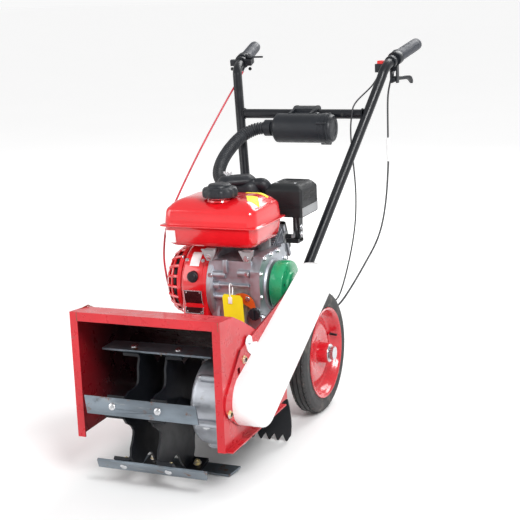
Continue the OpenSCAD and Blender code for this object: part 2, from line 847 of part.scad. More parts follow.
module throttle_cable() {
    color("red") cable(smooth(red_route, 4), 2.5, 8, [1, 0, 0]);
}

module clutch_cable() {
    color([0.1, 0.1, 0.1]) cable(smooth(clutch_route, 4), 2.5, 8, [1, 0, 0]);
}

module switch_wire() {
    color([0.15, 0.15, 0.15]) cable(smooth(wire_route, 4), 2, 8, [1, 0, 0]);
}

module dipstick() {
    color([0.1, 0.1, 0.1]) translate([filler_x, 0, filler_z]) rotate([-90, 0, 0]) {
        translate([0, 0, -200]) cylinder(r = 15, h = 10);
        translate([0, 0, -190]) cylinder(r = 7.95, h = 20);
    }
}

module machine_bolts() {
    color("khaki") {
        for (i = [0:5]) rod(3.4, 104, 125, case_y + case_bolt_r * cos(60 * i + 12),
                case_z + case_bolt_r * sin(60 * i + 12));
        for (p = plate_bolts) rod(6.5, 144.7, 150, p[0], p[1]);
        for (x = [-rail_x, rail_x]) for (y = engine_bolt_ys)
            translate([x, y, 248.1]) cylinder(r = 4.4, h = 21);
    }
}

hood_left_wall();
hood_right_wall();
hood_top();
rear_scraper();
gearbox_case();
gearbox_cover();
machine_bolts();
gearbox_bearings();
cover_back_plate();
belt_cover();
drive_belt();
chassis_frame();
wheel_axle();
crankcase();
crankcase_cover();
cylinder_block();
head_cover();
spark_plug();
fuel_tank();
tank_brackets();
fan_cover();
recoil_housing();
muffler();
muffler_guard();
carburettor();
intake_elbow();
intake_hose();
filter_canister();
canister_lid();
starter_grip();
handlebar_tubes();
crossbar();
handle_grips();
throttle_clamp();
clutch_bracket();
switch_box();
throttle_cable();
clutch_cable();
switch_wire();
rotor_carrier();
cutter_bars();
rotor_bolts();
output_shaft();
input_shaft();
driven_pulley();
crankshaft();
drive_pulley();
clutch_drum();
flywheel();
idler_arm();
idler_roller();
left_tyre();
left_rim();
right_tyre();
right_rim();
throttle_lever();
clutch_lever();
stop_button();
fuel_cap();
dipstick();
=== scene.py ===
"""Walk-behind trencher: looks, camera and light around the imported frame."""
import json
import math

import bmesh
import bpy
from mathutils import Matrix, Vector


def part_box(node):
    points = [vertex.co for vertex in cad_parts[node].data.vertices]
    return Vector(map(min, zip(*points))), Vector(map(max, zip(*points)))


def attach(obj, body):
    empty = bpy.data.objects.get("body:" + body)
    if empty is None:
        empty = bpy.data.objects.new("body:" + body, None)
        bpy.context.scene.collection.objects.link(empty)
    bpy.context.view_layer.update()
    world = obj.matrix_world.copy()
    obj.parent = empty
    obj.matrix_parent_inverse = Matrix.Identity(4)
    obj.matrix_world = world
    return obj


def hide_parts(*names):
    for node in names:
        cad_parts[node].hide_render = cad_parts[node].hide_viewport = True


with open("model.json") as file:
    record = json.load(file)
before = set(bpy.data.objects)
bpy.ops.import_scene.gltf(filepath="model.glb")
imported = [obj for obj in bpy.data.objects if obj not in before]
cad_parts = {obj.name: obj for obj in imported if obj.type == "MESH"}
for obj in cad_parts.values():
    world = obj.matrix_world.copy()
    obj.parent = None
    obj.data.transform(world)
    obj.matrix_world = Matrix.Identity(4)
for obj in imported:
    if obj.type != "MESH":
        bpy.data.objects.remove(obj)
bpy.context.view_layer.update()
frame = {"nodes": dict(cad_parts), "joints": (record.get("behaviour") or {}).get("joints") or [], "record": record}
nodes = frame["nodes"]
MM = 0.001
X_AXIS, Y_AXIS, Z_AXIS = Vector((1, 0, 0)), Vector((0, 1, 0)), Vector((0, 0, 1))


# ---------------------------------------------------------------- camera
CAMERA_AT = Vector((1.180, -2.758, 1.071))
CAMERA_YAW, CAMERA_PITCH, CAMERA_ROLL = math.radians(23.2), math.radians(12.7), math.radians(-2.3)
CAMERA_LENS = 85.9


def make_camera():
    """A camera that looks along its yaw and pitch, rolled a little."""
    forward = Vector((-math.sin(CAMERA_YAW) * math.cos(CAMERA_PITCH),
                      math.cos(CAMERA_YAW) * math.cos(CAMERA_PITCH), -math.sin(CAMERA_PITCH)))
    level_right = forward.cross(Z_AXIS).normalized()
    level_up = level_right.cross(forward)
    right = level_right * math.cos(CAMERA_ROLL) + level_up * math.sin(CAMERA_ROLL)
    up = -level_right * math.sin(CAMERA_ROLL) + level_up * math.cos(CAMERA_ROLL)
    data = bpy.data.cameras.new("camera")
    data.lens = CAMERA_LENS
    camera = bpy.data.objects.new("camera", data)
    camera.matrix_world = Matrix((right, up, -forward)).transposed().to_4x4()
    camera.location = CAMERA_AT
    bpy.context.scene.collection.objects.link(camera)
    bpy.context.scene.camera = camera


make_camera()


# ---------------------------------------------------------------- materials
EVEN = (1, 1, 1)
DUST = (0.30, 0.25, 0.20)
RUST = (0.19, 0.075, 0.03)
# Painted shade: the near-black colour laid on the hood's inward faces.
HOOD_PAINTED_SHADE = (0.012, 0.004, 0.006)


def noise(tree, scale, detail=5.0, stretch=EVEN, rough=0.55):
    """Noise in object space; returns its value socket."""
    coords = tree.nodes.new("ShaderNodeTexCoord")
    mapping = tree.nodes.new("ShaderNodeMapping")
    mapping.inputs["Scale"].default_value = stretch
    texture = tree.nodes.new("ShaderNodeTexNoise")
    texture.inputs["Scale"].default_value = scale
    texture.inputs["Detail"].default_value = detail
    texture.inputs["Roughness"].default_value = rough
    tree.links.new(coords.outputs["Object"], mapping.inputs["Vector"])
    tree.links.new(mapping.outputs["Vector"], texture.inputs["Vector"])
    return texture.outputs["Fac"]


def remap(tree, value, low, high, to_low, to_high):
    """Smoothly maps a value from one range to another."""
    node = tree.nodes.new("ShaderNodeMapRange")
    node.interpolation_type = "SMOOTHSTEP"
    for name, number in (("From Min", low), ("From Max", high), ("To Min", to_low), ("To Max", to_high)):
        node.inputs[name].default_value = number
    tree.links.new(value, node.inputs["Value"])
    return node.outputs["Result"]


def mix_colour(tree, factor, first, second):
    """Mixes two colours, each a socket or a tuple."""
    node = tree.nodes.new("ShaderNodeMix")
    node.data_type = "RGBA"
    tree.links.new(factor, node.inputs["Factor"])
    for socket, colour in ((node.inputs[6], first), (node.inputs[7], second)):
        if isinstance(colour, tuple):
            socket.default_value = (*colour, 1)
        else:
            tree.links.new(colour, socket)
    return node.outputs[2]


def maths(tree, first, second, operation="MULTIPLY"):
    """One sum on two values, each a socket or a number; a product unless another operation is named."""
    node = tree.nodes.new("ShaderNodeMath")
    node.operation = operation
    for socket, value in zip(node.inputs, (first, second)):
        if isinstance(value, (int, float)):
            socket.default_value = value
        else:
            tree.links.new(value, socket)
    return node.outputs[0]


def painted_inside_shade(tree):
    """How much painted shade the hood gets: its inward faces only, more so towards the back."""
    coords = tree.nodes.new("ShaderNodeTexCoord")
    place = tree.nodes.new("ShaderNodeSeparateXYZ")
    facing = tree.nodes.new("ShaderNodeSeparateXYZ")
    tree.links.new(coords.outputs["Object"], place.inputs[0])
    tree.links.new(coords.outputs["Normal"], facing.inputs[0])
    across = maths(tree, maths(tree, facing.outputs["X"], place.outputs["X"]), -14.0)
    behind_front = maths(tree, place.outputs["Y"], 0.55, "ADD")
    along = maths(tree, maths(tree, facing.outputs["Y"], behind_front), -14.0)
    down = maths(tree, facing.outputs["Z"], -1.6)
    inward = maths(tree, maths(tree, across, along, "MAXIMUM"), down, "MAXIMUM")
    inward = remap(tree, inward, 0.1, 0.9, 0, 1)
    depth = remap(tree, place.outputs["Y"], -0.60, -0.36, 0.52, 0.97)
    return maths(tree, inward, depth)


def material(name, colour, rough, metal=0.0, coat=0.0, vary=0.12, vary_scale=9.0, layers=(),
             bump_scale=300.0, bump=0.05, stretch=EVEN, rough_vary=0.08, coarse=None, specular=0.5,
             shaded_inside=False):
    """A procedural surface: colour variation, layers of (colour, scale, low, high, stretch) and bump."""
    made = bpy.data.materials.new(name)
    made.use_nodes = True
    tree = made.node_tree
    shader = tree.nodes["Principled BSDF"]
    dark = tuple(c * (1 - vary) for c in colour)
    light = tuple(min(1.0, c * (1 + vary)) for c in colour)
    blotches = remap(tree, noise(tree, vary_scale, stretch=stretch), 0.3, 0.7, 0, 1)
    socket = mix_colour(tree, blotches, dark, light)
    for layer_colour, scale, low, high, layer_stretch in layers:
        amount = remap(tree, noise(tree, scale, 8.0, layer_stretch, 0.65), low, high, 0, 1)
        socket = mix_colour(tree, amount, socket, layer_colour)
    if shaded_inside:
        # Painted shade: the hood's inward faces darken towards black, deeper at the back.
        socket = mix_colour(tree, painted_inside_shade(tree), socket, HOOD_PAINTED_SHADE)
    tree.links.new(socket, shader.inputs["Base Color"])
    shader.inputs["Specular IOR Level"].default_value = specular
    roughness = remap(tree, noise(tree, vary_scale * 4, stretch=stretch), 0.3, 0.7, rough - rough_vary,
                      rough + rough_vary)
    tree.links.new(roughness, shader.inputs["Roughness"])
    shader.inputs["Metallic"].default_value = metal
    shader.inputs["Coat Weight"].default_value = coat
    shader.inputs["Coat Roughness"].default_value = 0.08
    node = tree.nodes.new("ShaderNodeBump")
    node.inputs["Strength"].default_value = bump
    node.inputs["Distance"].default_value = 0.001
    height = noise(tree, bump_scale, 3.0, stretch)
    if coarse:
        height = maths(tree, maths(tree, noise(tree, coarse, 2.0), 2.0), height, "ADD")
    tree.links.new(height, node.inputs["Height"])
    tree.links.new(node.outputs["Normal"], shader.inputs["Normal"])
    return made


SURFACES = {
    "hood_red": dict(colour=(0.50, 0.008, 0.016), rough=0.32, coat=0.25, vary=0.10, bump_scale=60, bump=0.10,
                     shaded_inside=True, specular=0.4,
                     layers=[((0.33, 0.05, 0.05), 26, 0.66, 0.80, EVEN), (DUST, 70, 0.74, 0.84, EVEN)]),
    "black_steel": dict(colour=(0.007, 0.008, 0.011), rough=0.36, coat=0.1, bump_scale=240, bump=0.06,
                        specular=0.35, layers=[(DUST, 45, 0.72, 0.90, EVEN)]),
    "cast_aluminium": dict(colour=(0.43, 0.45, 0.49), rough=0.42, metal=0.85, vary=0.16, vary_scale=24,
                           bump_scale=520, bump=0.30, coarse=70,
                           layers=[((0.30, 0.29, 0.28), 34, 0.60, 0.78, EVEN)]),
    "yellow_zinc": dict(colour=(0.70, 0.58, 0.30), rough=0.32, metal=0.6, vary=0.2, vary_scale=60,
                        layers=[((0.62, 0.62, 0.66), 80, 0.45, 0.62, EVEN)]),
    "bright_steel": dict(colour=(0.62, 0.63, 0.65), rough=0.28, metal=1.0, vary=0.1, vary_scale=30,
                         stretch=(1, 8, 8), bump_scale=400, bump=0.08),
    "white_paint": dict(colour=(0.86, 0.87, 0.87), rough=0.30, coat=0.5, vary=0.02, vary_scale=5,
                        bump_scale=40, bump=0.05, layers=[((0.70, 0.68, 0.64), 30, 0.74, 0.90, EVEN)]),
    "belt_rubber": dict(colour=(0.02, 0.02, 0.02), rough=0.75, bump_scale=500, bump=0.2),
    "head_black": dict(colour=(0.009, 0.010, 0.012), rough=0.44, specular=0.4, bump_scale=420, bump=0.22,
                       vary=0.2, layers=[((0.07, 0.07, 0.07), 50, 0.66, 0.80, EVEN)]),
    "tank_red": dict(colour=(0.66, 0.008, 0.014), rough=0.20, coat=0.85, vary=0.05, vary_scale=7,
                     bump_scale=25, bump=0.03, rough_vary=0.04),
    "bracket_grey": dict(colour=(0.34, 0.35, 0.36), rough=0.45, metal=0.4, vary=0.12, bump_scale=200),
    "black_plastic": dict(colour=(0.010, 0.012, 0.016), rough=0.44, vary=0.15, vary_scale=20, specular=0.4,
                          bump_scale=700, bump=0.22,
                          layers=[((0.07, 0.07, 0.075), 60, 0.70, 0.85, EVEN)]),
    "hose_rubber": dict(colour=(0.014, 0.016, 0.020), rough=0.50, vary=0.2, bump_scale=500, bump=0.15,
                        specular=0.4),
    "grip_rubber": dict(colour=(0.035, 0.039, 0.050), rough=0.52, vary=0.15, bump_scale=900, bump=0.35),
    "red_sheath": dict(colour=(0.52, 0.03, 0.05), rough=0.35, vary=0.08, bump_scale=500, bump=0.03),
    "black_sheath": dict(colour=(0.03, 0.03, 0.034), rough=0.40, vary=0.1, bump_scale=500, bump=0.03),
    "bar_steel": dict(colour=(0.20, 0.235, 0.27), rough=0.40, metal=0.75, vary=0.28, vary_scale=18,
                      stretch=(0.35, 1, 1), bump_scale=180, bump=0.25, coarse=40,
                      layers=[((0.36, 0.37, 0.38), 60, 0.58, 0.74, (0.12, 1, 1)),
                              (RUST, 38, 0.57, 0.70, (0.8, 1, 1)),
                              ((0.06, 0.06, 0.065), 22, 0.62, 0.8, EVEN)]),
    "drum_green": dict(colour=(0.012, 0.33, 0.135), rough=0.30, coat=0.4, vary=0.10, vary_scale=14,
                       bump_scale=90, bump=0.10, layers=[((0.01, 0.20, 0.09), 60, 0.68, 0.8, EVEN)]),
    "tyre_rubber": dict(colour=(0.035, 0.035, 0.036), rough=0.72, vary=0.2, vary_scale=12, bump_scale=350,
                        bump=0.3, layers=[((0.17, 0.15, 0.13), 24, 0.52, 0.80, (2.5, 1, 1))]),
    "rim_red": dict(colour=(0.58, 0.012, 0.022), rough=0.26, coat=0.6, vary=0.1, vary_scale=10,
                    bump_scale=50, bump=0.06, layers=[((0.45, 0.30, 0.27), 45, 0.68, 0.80, EVEN)]),
    "rust_weld": dict(colour=(0.30, 0.03, 0.03), rough=0.55, vary=0.3, vary_scale=90, bump_scale=400,
                      bump=0.3, layers=[(RUST, 120, 0.45, 0.6, EVEN)]),
    "button_red": dict(colour=(0.62, 0.02, 0.02), rough=0.30, vary=0.05, bump_scale=200),
}
SLOTS = {name: material(name, **look) for name, look in SURFACES.items()}
TAG_YELLOW = material("tag_yellow", (0.90, 0.78, 0.01), 0.55, vary=0.03, vary_scale=30, bump_scale=90,
                      bump=0.1)
TIE_WHITE = material("tie_white", (0.85, 0.85, 0.85), 0.40, vary=0.04, vary_scale=40)
LABEL_ORANGE = material("label_orange", (0.62, 0.09, 0.012), 0.35, vary=0.10, vary_scale=30,
                        layers=[((0.75, 0.30, 0.02), 40, 0.55, 0.65, EVEN)])
PLATE_DARK = material("plate_dark", (0.05, 0.012, 0.015), 0.32, metal=0.5, vary=0.25, vary_scale=60)
FLOOR_PALE = material("floor_pale", (0.88, 0.88, 0.88), 0.85, vary=0.01, vary_scale=1.5, bump=0.0)


def brighten_far_floor():
    """The studio floor glows a little away from the machine, as if lit from behind it."""
    tree = FLOOR_PALE.node_tree
    shader = tree.nodes["Principled BSDF"]
    coords = tree.nodes.new("ShaderNodeTexCoord")
    reach = tree.nodes.new("ShaderNodeVectorMath")
    reach.operation = "LENGTH"
    tree.links.new(coords.outputs["Object"], reach.inputs[0])
    shader.inputs["Emission Color"].default_value = (1, 1, 1, 1)
    glow = remap(tree, reach.outputs["Value"], 0.9, 3.2, 0.0, 0.42)
    tree.links.new(glow, shader.inputs["Emission Strength"])


brighten_far_floor()
for record_slot in frame["record"]["subparts"]:
    node = nodes[record_slot["node"]]
    node.data.materials.clear()
    node.data.materials.append(SLOTS[record_slot["material_slot"]])


# ---------------------------------------------------------------- mesh helpers (all sizes in millimetres)
class Piece:
    """Collects shapes in one mesh, in millimetres, and makes an object of them."""

    def __init__(self):
        self.bm = bmesh.new()

    def loft(self, rings, closed=False, caps=True):
        """Joins rings of equal length into a skin."""
        rows = [[self.bm.verts.new(Vector(p) * MM) for p in ring] for ring in rings]
        count = len(rows[0])
        pairs = list(zip(rows, rows[1:]))
        if closed:
            pairs.append((rows[-1], rows[0]))
        for a, b in pairs:
            for k in range(count):
                self.bm.faces.new((a[k], a[(k + 1) % count], b[(k + 1) % count], b[k]))
        if caps and not closed:
            self.bm.faces.new(list(reversed(rows[0])))
            self.bm.faces.new(rows[-1])
        return self

    def lathe(self, profile, at, axis=X_AXIS, sides=64, closed=False, wave=None):
        """Turns (radius, distance along the axis) points about an axis."""
        axis = Vector(axis).normalized()
        u = axis.orthogonal().normalized()
        if abs(axis.x) > 0.99:
            u = Vector(Y_AXIS)
        v = axis.cross(u)
        rings = []
        for radius, along in profile:
            ring = []
            for k in range(sides):
                turn = 2 * math.pi * k / sides
                size = radius * (1 + (wave(turn, along) if wave else 0))
                ring.append(Vector(at) + axis * along + (u * math.cos(turn) + v * math.sin(turn)) * size)
            rings.append(ring)
        return self.loft(rings, closed)

    def rod(self, radius, start, end, sides=32, edge=0.6):
        """A round bar with softened ends."""
        start, end = Vector(start), Vector(end)
        length = (end - start).length
        edge = min(edge, radius * 0.4, length * 0.4)
        profile = [(radius - edge, 0), (radius, edge), (radius, length - edge), (radius - edge, length)]
        return self.lathe(profile, start, end - start, sides)

    def hex_bolt(self, at, direction, radius=6.0, height=5.0, washer=True):
        """A hexagon head with a washer flange under it."""
        direction = Vector(direction).normalized()
        at = Vector(at)
        if washer:
            self.rod(radius * 1.35, at, at + direction * 1.6, 24, 0.3)
        self.lathe([(radius, 1.6), (radius, height), (radius * 0.86, height + 0.9)], at, direction, 6)
        return self

    def block(self, low, high, edge=0.0):
        """A box, its edges cut back by edge."""
        made = bmesh.ops.create_cube(self.bm, size=1.0)["verts"]
        for vert in made:
            vert.co = Vector([(low[i] if vert.co[i] < 0 else high[i]) * MM for i in range(3)])
        if edge:
            edges = list({e for vert in made for e in vert.link_edges})
            bmesh.ops.bevel(self.bm, geom=edges, offset=edge * MM, segments=3, profile=0.5, affect="EDGES")
        return self

    def slab(self, outline, low, high, axis="x"):
        """An outline of (across, up) points extruded along x, y or z."""
        place = {"x": lambda a, b, c: (c, a, b), "y": lambda a, b, c: (a, c, b),
                 "z": lambda a, b, c: (a, b, c)}[axis]
        return self.loft([[place(a, b, c) for a, b in outline] for c in (low, high)])

    def tube(self, path, radius, sides=16):
        """Sweeps a ring along a path; radius is a number or a function of the distance travelled."""
        path = [Vector(p) for p in path]
        travelled, side, rings = 0.0, None, []
        for i, point in enumerate(path):
            ahead = path[min(i + 1, len(path) - 1)] - path[max(i - 1, 0)]
            ahead.normalize()
            side = ahead.orthogonal() if side is None else side - ahead * side.dot(ahead)
            side.normalize()
            other = ahead.cross(side)
            if i:
                travelled += (point - path[i - 1]).length
            size = radius(travelled) if callable(radius) else radius
            rings.append([point + (side * math.cos(2 * math.pi * k / sides)
                                   + other * math.sin(2 * math.pi * k / sides)) * size for k in range(sides)])
        return self.loft(rings)

    def done(self, name, surface, body="chassis", replaces=(), sharp=35.0, bevel=0.0):
        """Makes the object, rides it on its body and hides the CAD nodes it stands for."""
        bmesh.ops.recalc_face_normals(self.bm, faces=self.bm.faces)
        for face in self.bm.faces:
            face.smooth = True
        for edge in self.bm.edges:
            edge.smooth = len(edge.link_faces) == 2 and edge.calc_face_angle(0) < math.radians(sharp)
        mesh = bpy.data.meshes.new(name)
        self.bm.to_mesh(mesh)
        self.bm.free()
        made = bpy.data.objects.new(name, mesh)
        bpy.context.scene.collection.objects.link(made)
        mesh.materials.append(SLOTS[surface] if isinstance(surface, str) else surface)
        if bevel:
            soften(made, bevel)
        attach(made, body)
        if replaces:
            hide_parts(*replaces)
        return made


def soften(thing, width, segments=2):
    """A small rounded edge that catches the light."""
    modifier = thing.modifiers.new("edge", "BEVEL")
    modifier.width = width * MM
    modifier.segments = segments
    modifier.limit_method = "ANGLE"
    modifier.angle_limit = math.radians(32)
    modifier.harden_normals = True


def smooth_path(points, steps):
    """Catmull-Rom points through a route."""
    points = [Vector(p) for p in points]
    last = len(points) - 1
    out = []
    for i in range(last):
        a, b = points[max(i - 1, 0)], points[i]
        c, d = points[i + 1], points[min(i + 2, last)]
        for k in range(steps):
            t = k / steps
            out.append(0.5 * (2 * b + (c - a) * t + (2 * a - 5 * b + 4 * c - d) * t ** 2
                              + (3 * b - a - 3 * c + d) * t ** 3))
    return out + [points[last]]


def finish_cad(edges):
    """Welds the split vertices of CAD nodes and rounds their edges."""
    for name, width in edges.items():
        thing = nodes[name]
        weld = thing.modifiers.new("weld", "WELD")
        weld.merge_threshold = 0.00001
        soften(thing, width)


finish_cad({"hood_left_wall": 0.8, "hood_right_wall": 0.8, "hood_top": 0.8, "rear_scraper": 0.6,
            "rotor_carrier": 0.8, "cutter_bars": 0.6, "chassis_frame": 1.5, "cover_back_plate": 0.8,
            "crankcase": 3.0, "crankcase_cover": 2.5, "tank_brackets": 0.5, "head_cover": 4.0, "muffler": 3.0,
            "muffler_guard": 2.0, "carburettor": 2.0, "cylinder_block": 0.6, "clutch_drum": 1.2,
            "switch_box": 2.0, "stop_button": 1.5, "clutch_bracket": 1.0, "throttle_clamp": 1.2})


# ---------------------------------------------------------------- floor, light
def make_stage():
    """A pale floor, a sky brightest at the horizon, and three soft lights."""
    mesh = bpy.data.meshes.new("floor")
    half = 60.0
    corners = [(-half, -half, 0), (half, -half, 0), (half, half, 0), (-half, half, 0)]
    mesh.from_pydata(corners, [], [(0, 1, 2, 3)])
    floor = bpy.data.objects.new("floor", mesh)
    floor.location.z = -0.0005
    bpy.context.scene.collection.objects.link(floor)
    mesh.materials.append(FLOOR_PALE)
    world = bpy.data.worlds.new("sky")
    bpy.context.scene.world = world
    world.use_nodes = True
    sky = world.node_tree
    background = sky.nodes["Background"]
    background.inputs["Color"].default_value = (1, 1, 1, 1)
    direction = sky.nodes.new("ShaderNodeTexCoord")
    height = sky.nodes.new("ShaderNodeSeparateXYZ")
    sky.links.new(direction.outputs["Generated"], height.inputs[0])
    strength = remap(sky, height.outputs["Z"], 0.03, 0.30, 0.95, 0.56)
    sky.links.new(strength, background.inputs["Strength"])
    for name, at, size, power in (("key", (2.2, -2.4, 2.8), 1.3, 120), ("fill", (-2.6, -1.8, 1.7), 2.0, 36),
                                  ("back", (0.6, 2.6, 2.6), 2.0, 80)):
        data = bpy.data.lights.new(name, "AREA")
        data.size = size
        data.energy = power
        light = bpy.data.objects.new(name, data)
        light.location = at
        aim = Vector((0, -0.1, 0.35)) - Vector(at)
        light.rotation_euler = aim.to_track_quat("-Z", "Y").to_euler()
        bpy.context.scene.collection.objects.link(light)
    bpy.context.scene.view_settings.view_transform = "Standard"


make_stage()


# ---------------------------------------------------------------- places, from the frame (millimetres)
def corner(name):
    """The lowest and highest corner of a node, in millimetres."""
    low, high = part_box(name)
    return Vector(low) / MM, Vector(high) / MM


def middle(name):
    """The centre of a node's box, in millimetres."""
    low, high = corner(name)
    return (low + high) / 2


def turns(count, start=0.0):
    """Evenly spaced angles in radians, from a start in degrees."""
    return [math.radians(start) + 2 * math.pi * k / count for k in range(count)]


def spoke(centre, turn, radius, x=0.0):
    """A point at an angle and a distance from an axis along X."""
    return Vector((centre.x + x, centre.y + radius * math.cos(turn), centre.z + radius * math.sin(turn)))


CRANK_Y, CRANK_Z = middle("crankshaft").y, middle("crankshaft").z
CRANK_AT = Vector((0, CRANK_Y, CRANK_Z))
AXLE = middle("wheel_axle")
JOINT_AT = {joint["name"]: Vector(joint.get("pos_m") or (0, 0, 0)) / MM for joint in frame["joints"]}
CASE_R = (corner("gearbox_cover")[1].z - corner("gearbox_cover")[0].z) / 2
CASE_AT = Vector((0, middle("gearbox_cover").y, middle("gearbox_cover").z))
FIRST_BAR_DEGREES = -17.7
BARS = 6
TANK_LOW, TANK_HIGH = corner("fuel_tank")
CAP_TOP = corner("fuel_cap")[1].z


# ---------------------------------------------------------------- wheels
def make_wheel(side, body):
    """A ribbed tyre, a dished rim with a long hub, a bright washer and the tyre's valve."""
    side_name = body.split("_")[0]
    low, high = corner(f"{side_name}_tyre")
    centre_x, radius = (low.x + high.x) / 2, (high.z - low.z) / 2
    at = (centre_x, AXLE.y, AXLE.z)
    axis = X_AXIS * side
    rim_r = radius - 39
    tread = [(radius - 8, -22), (radius - 3.5, -20), (radius - 2.2, -17)]
    for groove in (-12, 0, 12):
        tread += [(radius - 0.3, groove - 4.5), (radius - 0.2, groove - 1.6), (radius - 4.5, groove - 1.1),
                  (radius - 4.5, groove + 1.1), (radius - 0.2, groove + 1.6), (radius - 0.3, groove + 4.5)]
    tread += [(radius - 2.2, 17), (radius - 3.5, 20), (radius - 8, 22)]
    wall = [(rim_r - 4, -20), (rim_r + 4, -23.5), (rim_r + 8, -24.5), (rim_r + 9, -23.6), (rim_r + 18, -25.8),
            (rim_r + 26, -25.2)]
    profile = wall + tread + [(r, -x) for r, x in reversed(wall)]

    def lugs(turn, along):
        return -0.010 * (math.sin(turn * 60) > 0.55) if 13 < abs(along) < 21 else 0.0

    Piece().lathe(profile, at, axis, 360, True, lugs).done(
        f"{body}_tyre_tread", "tyre_rubber", body, [f"{side_name}_tyre"], sharp=28)
    rim = [(10.06, -30), (24, -30), (24, -4), (60, 3), (86, -6), (rim_r - 12, -8), (rim_r - 7, -19),
           (rim_r - 3.5, -20), (rim_r - 3.5, 19), (rim_r + 1.5, 22.5), (rim_r + 2.5, 24.4), (rim_r + 1.5, 26),
           (rim_r - 2, 25.4), (rim_r - 5, 22), (rim_r - 7, 15), (rim_r - 13, 2), (rim_r - 20, -2), (88, -3),
           (80, 0), (72, 5.5), (62, 7.5), (48, 6.0), (38, 3.5), (30, 3), (26, 7), (25, 30), (24, 33.5),
           (20, 34), (10.06, 34)]
    Piece().lathe(rim, at, axis, 96, True).done(
        f"{body}_rim_disc", "rim_red", body, [f"{side_name}_rim"], sharp=40)
    face = centre_x + side * 34
    washer = Piece().lathe([(10.2, 0), (22, 0), (22.5, 0.6), (22, 1.9), (10.2, 1.9)], (face, AXLE.y, AXLE.z),
                           axis, 48, True)
    washer.done(f"{body}_washer", "bright_steel", body)
    valve = Piece().rod(3.2, (centre_x + side * 2, AXLE.y + 92, AXLE.z + 22),
                        (centre_x + side * 22, AXLE.y + 88, AXLE.z + 21), 16)
    valve.done(f"{body}_valve", "black_plastic", body)


make_wheel(-1, "left_wheel")
make_wheel(1, "right_wheel")


# ---------------------------------------------------------------- belt cover
def cover_profile(cut):
    """The cover's outline: round at the gearbox end, cut off at the engine end, drawn in by cut."""
    input_at = JOINT_AT["input_spin"]
    first, last, steps = -63.5, -237.5, 40
    arc = []
    for k in range(steps + 1):
        point = spoke(input_at, math.radians(first + (last - first) * k / steps), 59 - cut)
        arc.append((point.y, point.z))
    return arc + [(-95 + cut, 412 - cut), (-88 + cut, 414 - cut), (-47 - cut, 407.5 - cut),
                  (-41.5 - cut, 402 - cut), (-60 - cut, 338 + cut), (-66 - cut, 331.5 + cut)]


def make_belt_cover():
    """The pressed cover, its outer edge rolled over, with its ear, and the back plate's bolts."""
    low, high = corner("belt_cover")
    wall = 2.2

    def skin(stations):
        shell.loft([[(x, y, z) for y, z in cover_profile(cut)] for x, cut in stations], caps=False)

    shell = Piece()
    skin([(low.x, 0.0), (high.x - 9, 0.0), (high.x - 4.2, 1.3), (high.x - 1.3, 4.2), (high.x, 9.0)])
    shell.slab(cover_profile(9.0), high.x - 2.0, high.x)
    skin([(high.x - 2, 10.0), (high.x - 3.4, 5.4), (high.x - 6.2, 3.4), (low.x, wall)])
    skin([(low.x, 0.0), (low.x, wall)])
    ear = [(-440, 318), (-434, 329), (-421, 332), (-410, 326), (-406, 312), (-380, 306), (-380, 286),
           (-412, 284), (-432, 299)]
    shell.slab(ear, low.x, low.x + wall)
    shell.done("belt_cover_pressing", "white_paint", replaces=["belt_cover"], sharp=50)
    bolt = Piece().hex_bolt((low.x + wall, -424, 317), X_AXIS, 4.4, 4)
    bolt.done("belt_cover_bolt", "bright_steel")
    plate_face_x = 144.9
    plate_bolts = Piece()
    for y, z in ((-536, 192), (-451, 286)):
        plate_bolts.hex_bolt((plate_face_x, y, z), X_AXIS, 6.5, 4.2)
    plate_bolts.done("back_plate_bolts", "yellow_zinc")


make_belt_cover()


# ---------------------------------------------------------------- gearbox
def make_gearbox():
    """A cast housing with a coned and ribbed face, a hub, bosses, flange bolts and a drain plug."""
    face_x, flange_x, bolt_x = 50, 125, 72
    bolt_ring = CASE_R + 1
    case = Piece()
    profile = [(17, face_x - 7), (30, face_x - 7), (33, face_x - 5), (35, face_x - 0.5), (62, face_x),
               (CASE_R - 15, face_x + 1), (CASE_R - 7, face_x + 4), (CASE_R - 3, face_x + 9),
               (CASE_R - 1.2, face_x + 16), (CASE_R - 1, 112), (CASE_R, 118), (CASE_R, flange_x),
               (CASE_R - 6, flange_x), (CASE_R - 6, 90), (60, 74), (17, 70)]
    case.lathe(profile, CASE_AT, X_AXIS, 96, True)
    for turn in turns(6, 12):
        case.rod(8.2, spoke(CASE_AT, turn, bolt_ring, bolt_x), spoke(CASE_AT, turn, bolt_ring, flange_x), 24,
                 1.5)
    for turn in turns(8, 33):
        case.tube([spoke(CASE_AT, turn, radius, x) for radius, x in
                   ((38, face_x - 1), (CASE_R - 17, face_x + 2), (CASE_R - 2.5, face_x + 14))], 3.0, 8)
    output = JOINT_AT["rotor_spin"]
    case.rod(24, (face_x - 1.5, output.y, output.z), (face_x + 6, output.y, output.z), 48, 2)
    case.done("gearbox_housing", "cast_aluminium", replaces=["gearbox_case"], sharp=38)
    bolts = Piece()
    for turn in turns(6, 12):
        bolts.hex_bolt(spoke(CASE_AT, turn, bolt_ring, bolt_x), -X_AXIS, 5.5, 5)
    drain = CASE_AT + Vector((92, -CASE_R * 0.965, -CASE_R * 0.25))
    bolts.hex_bolt(drain, (0, -0.97, -0.25), 7, 7)
    bolts.done("gearbox_bolt_heads", "bright_steel")


make_gearbox()


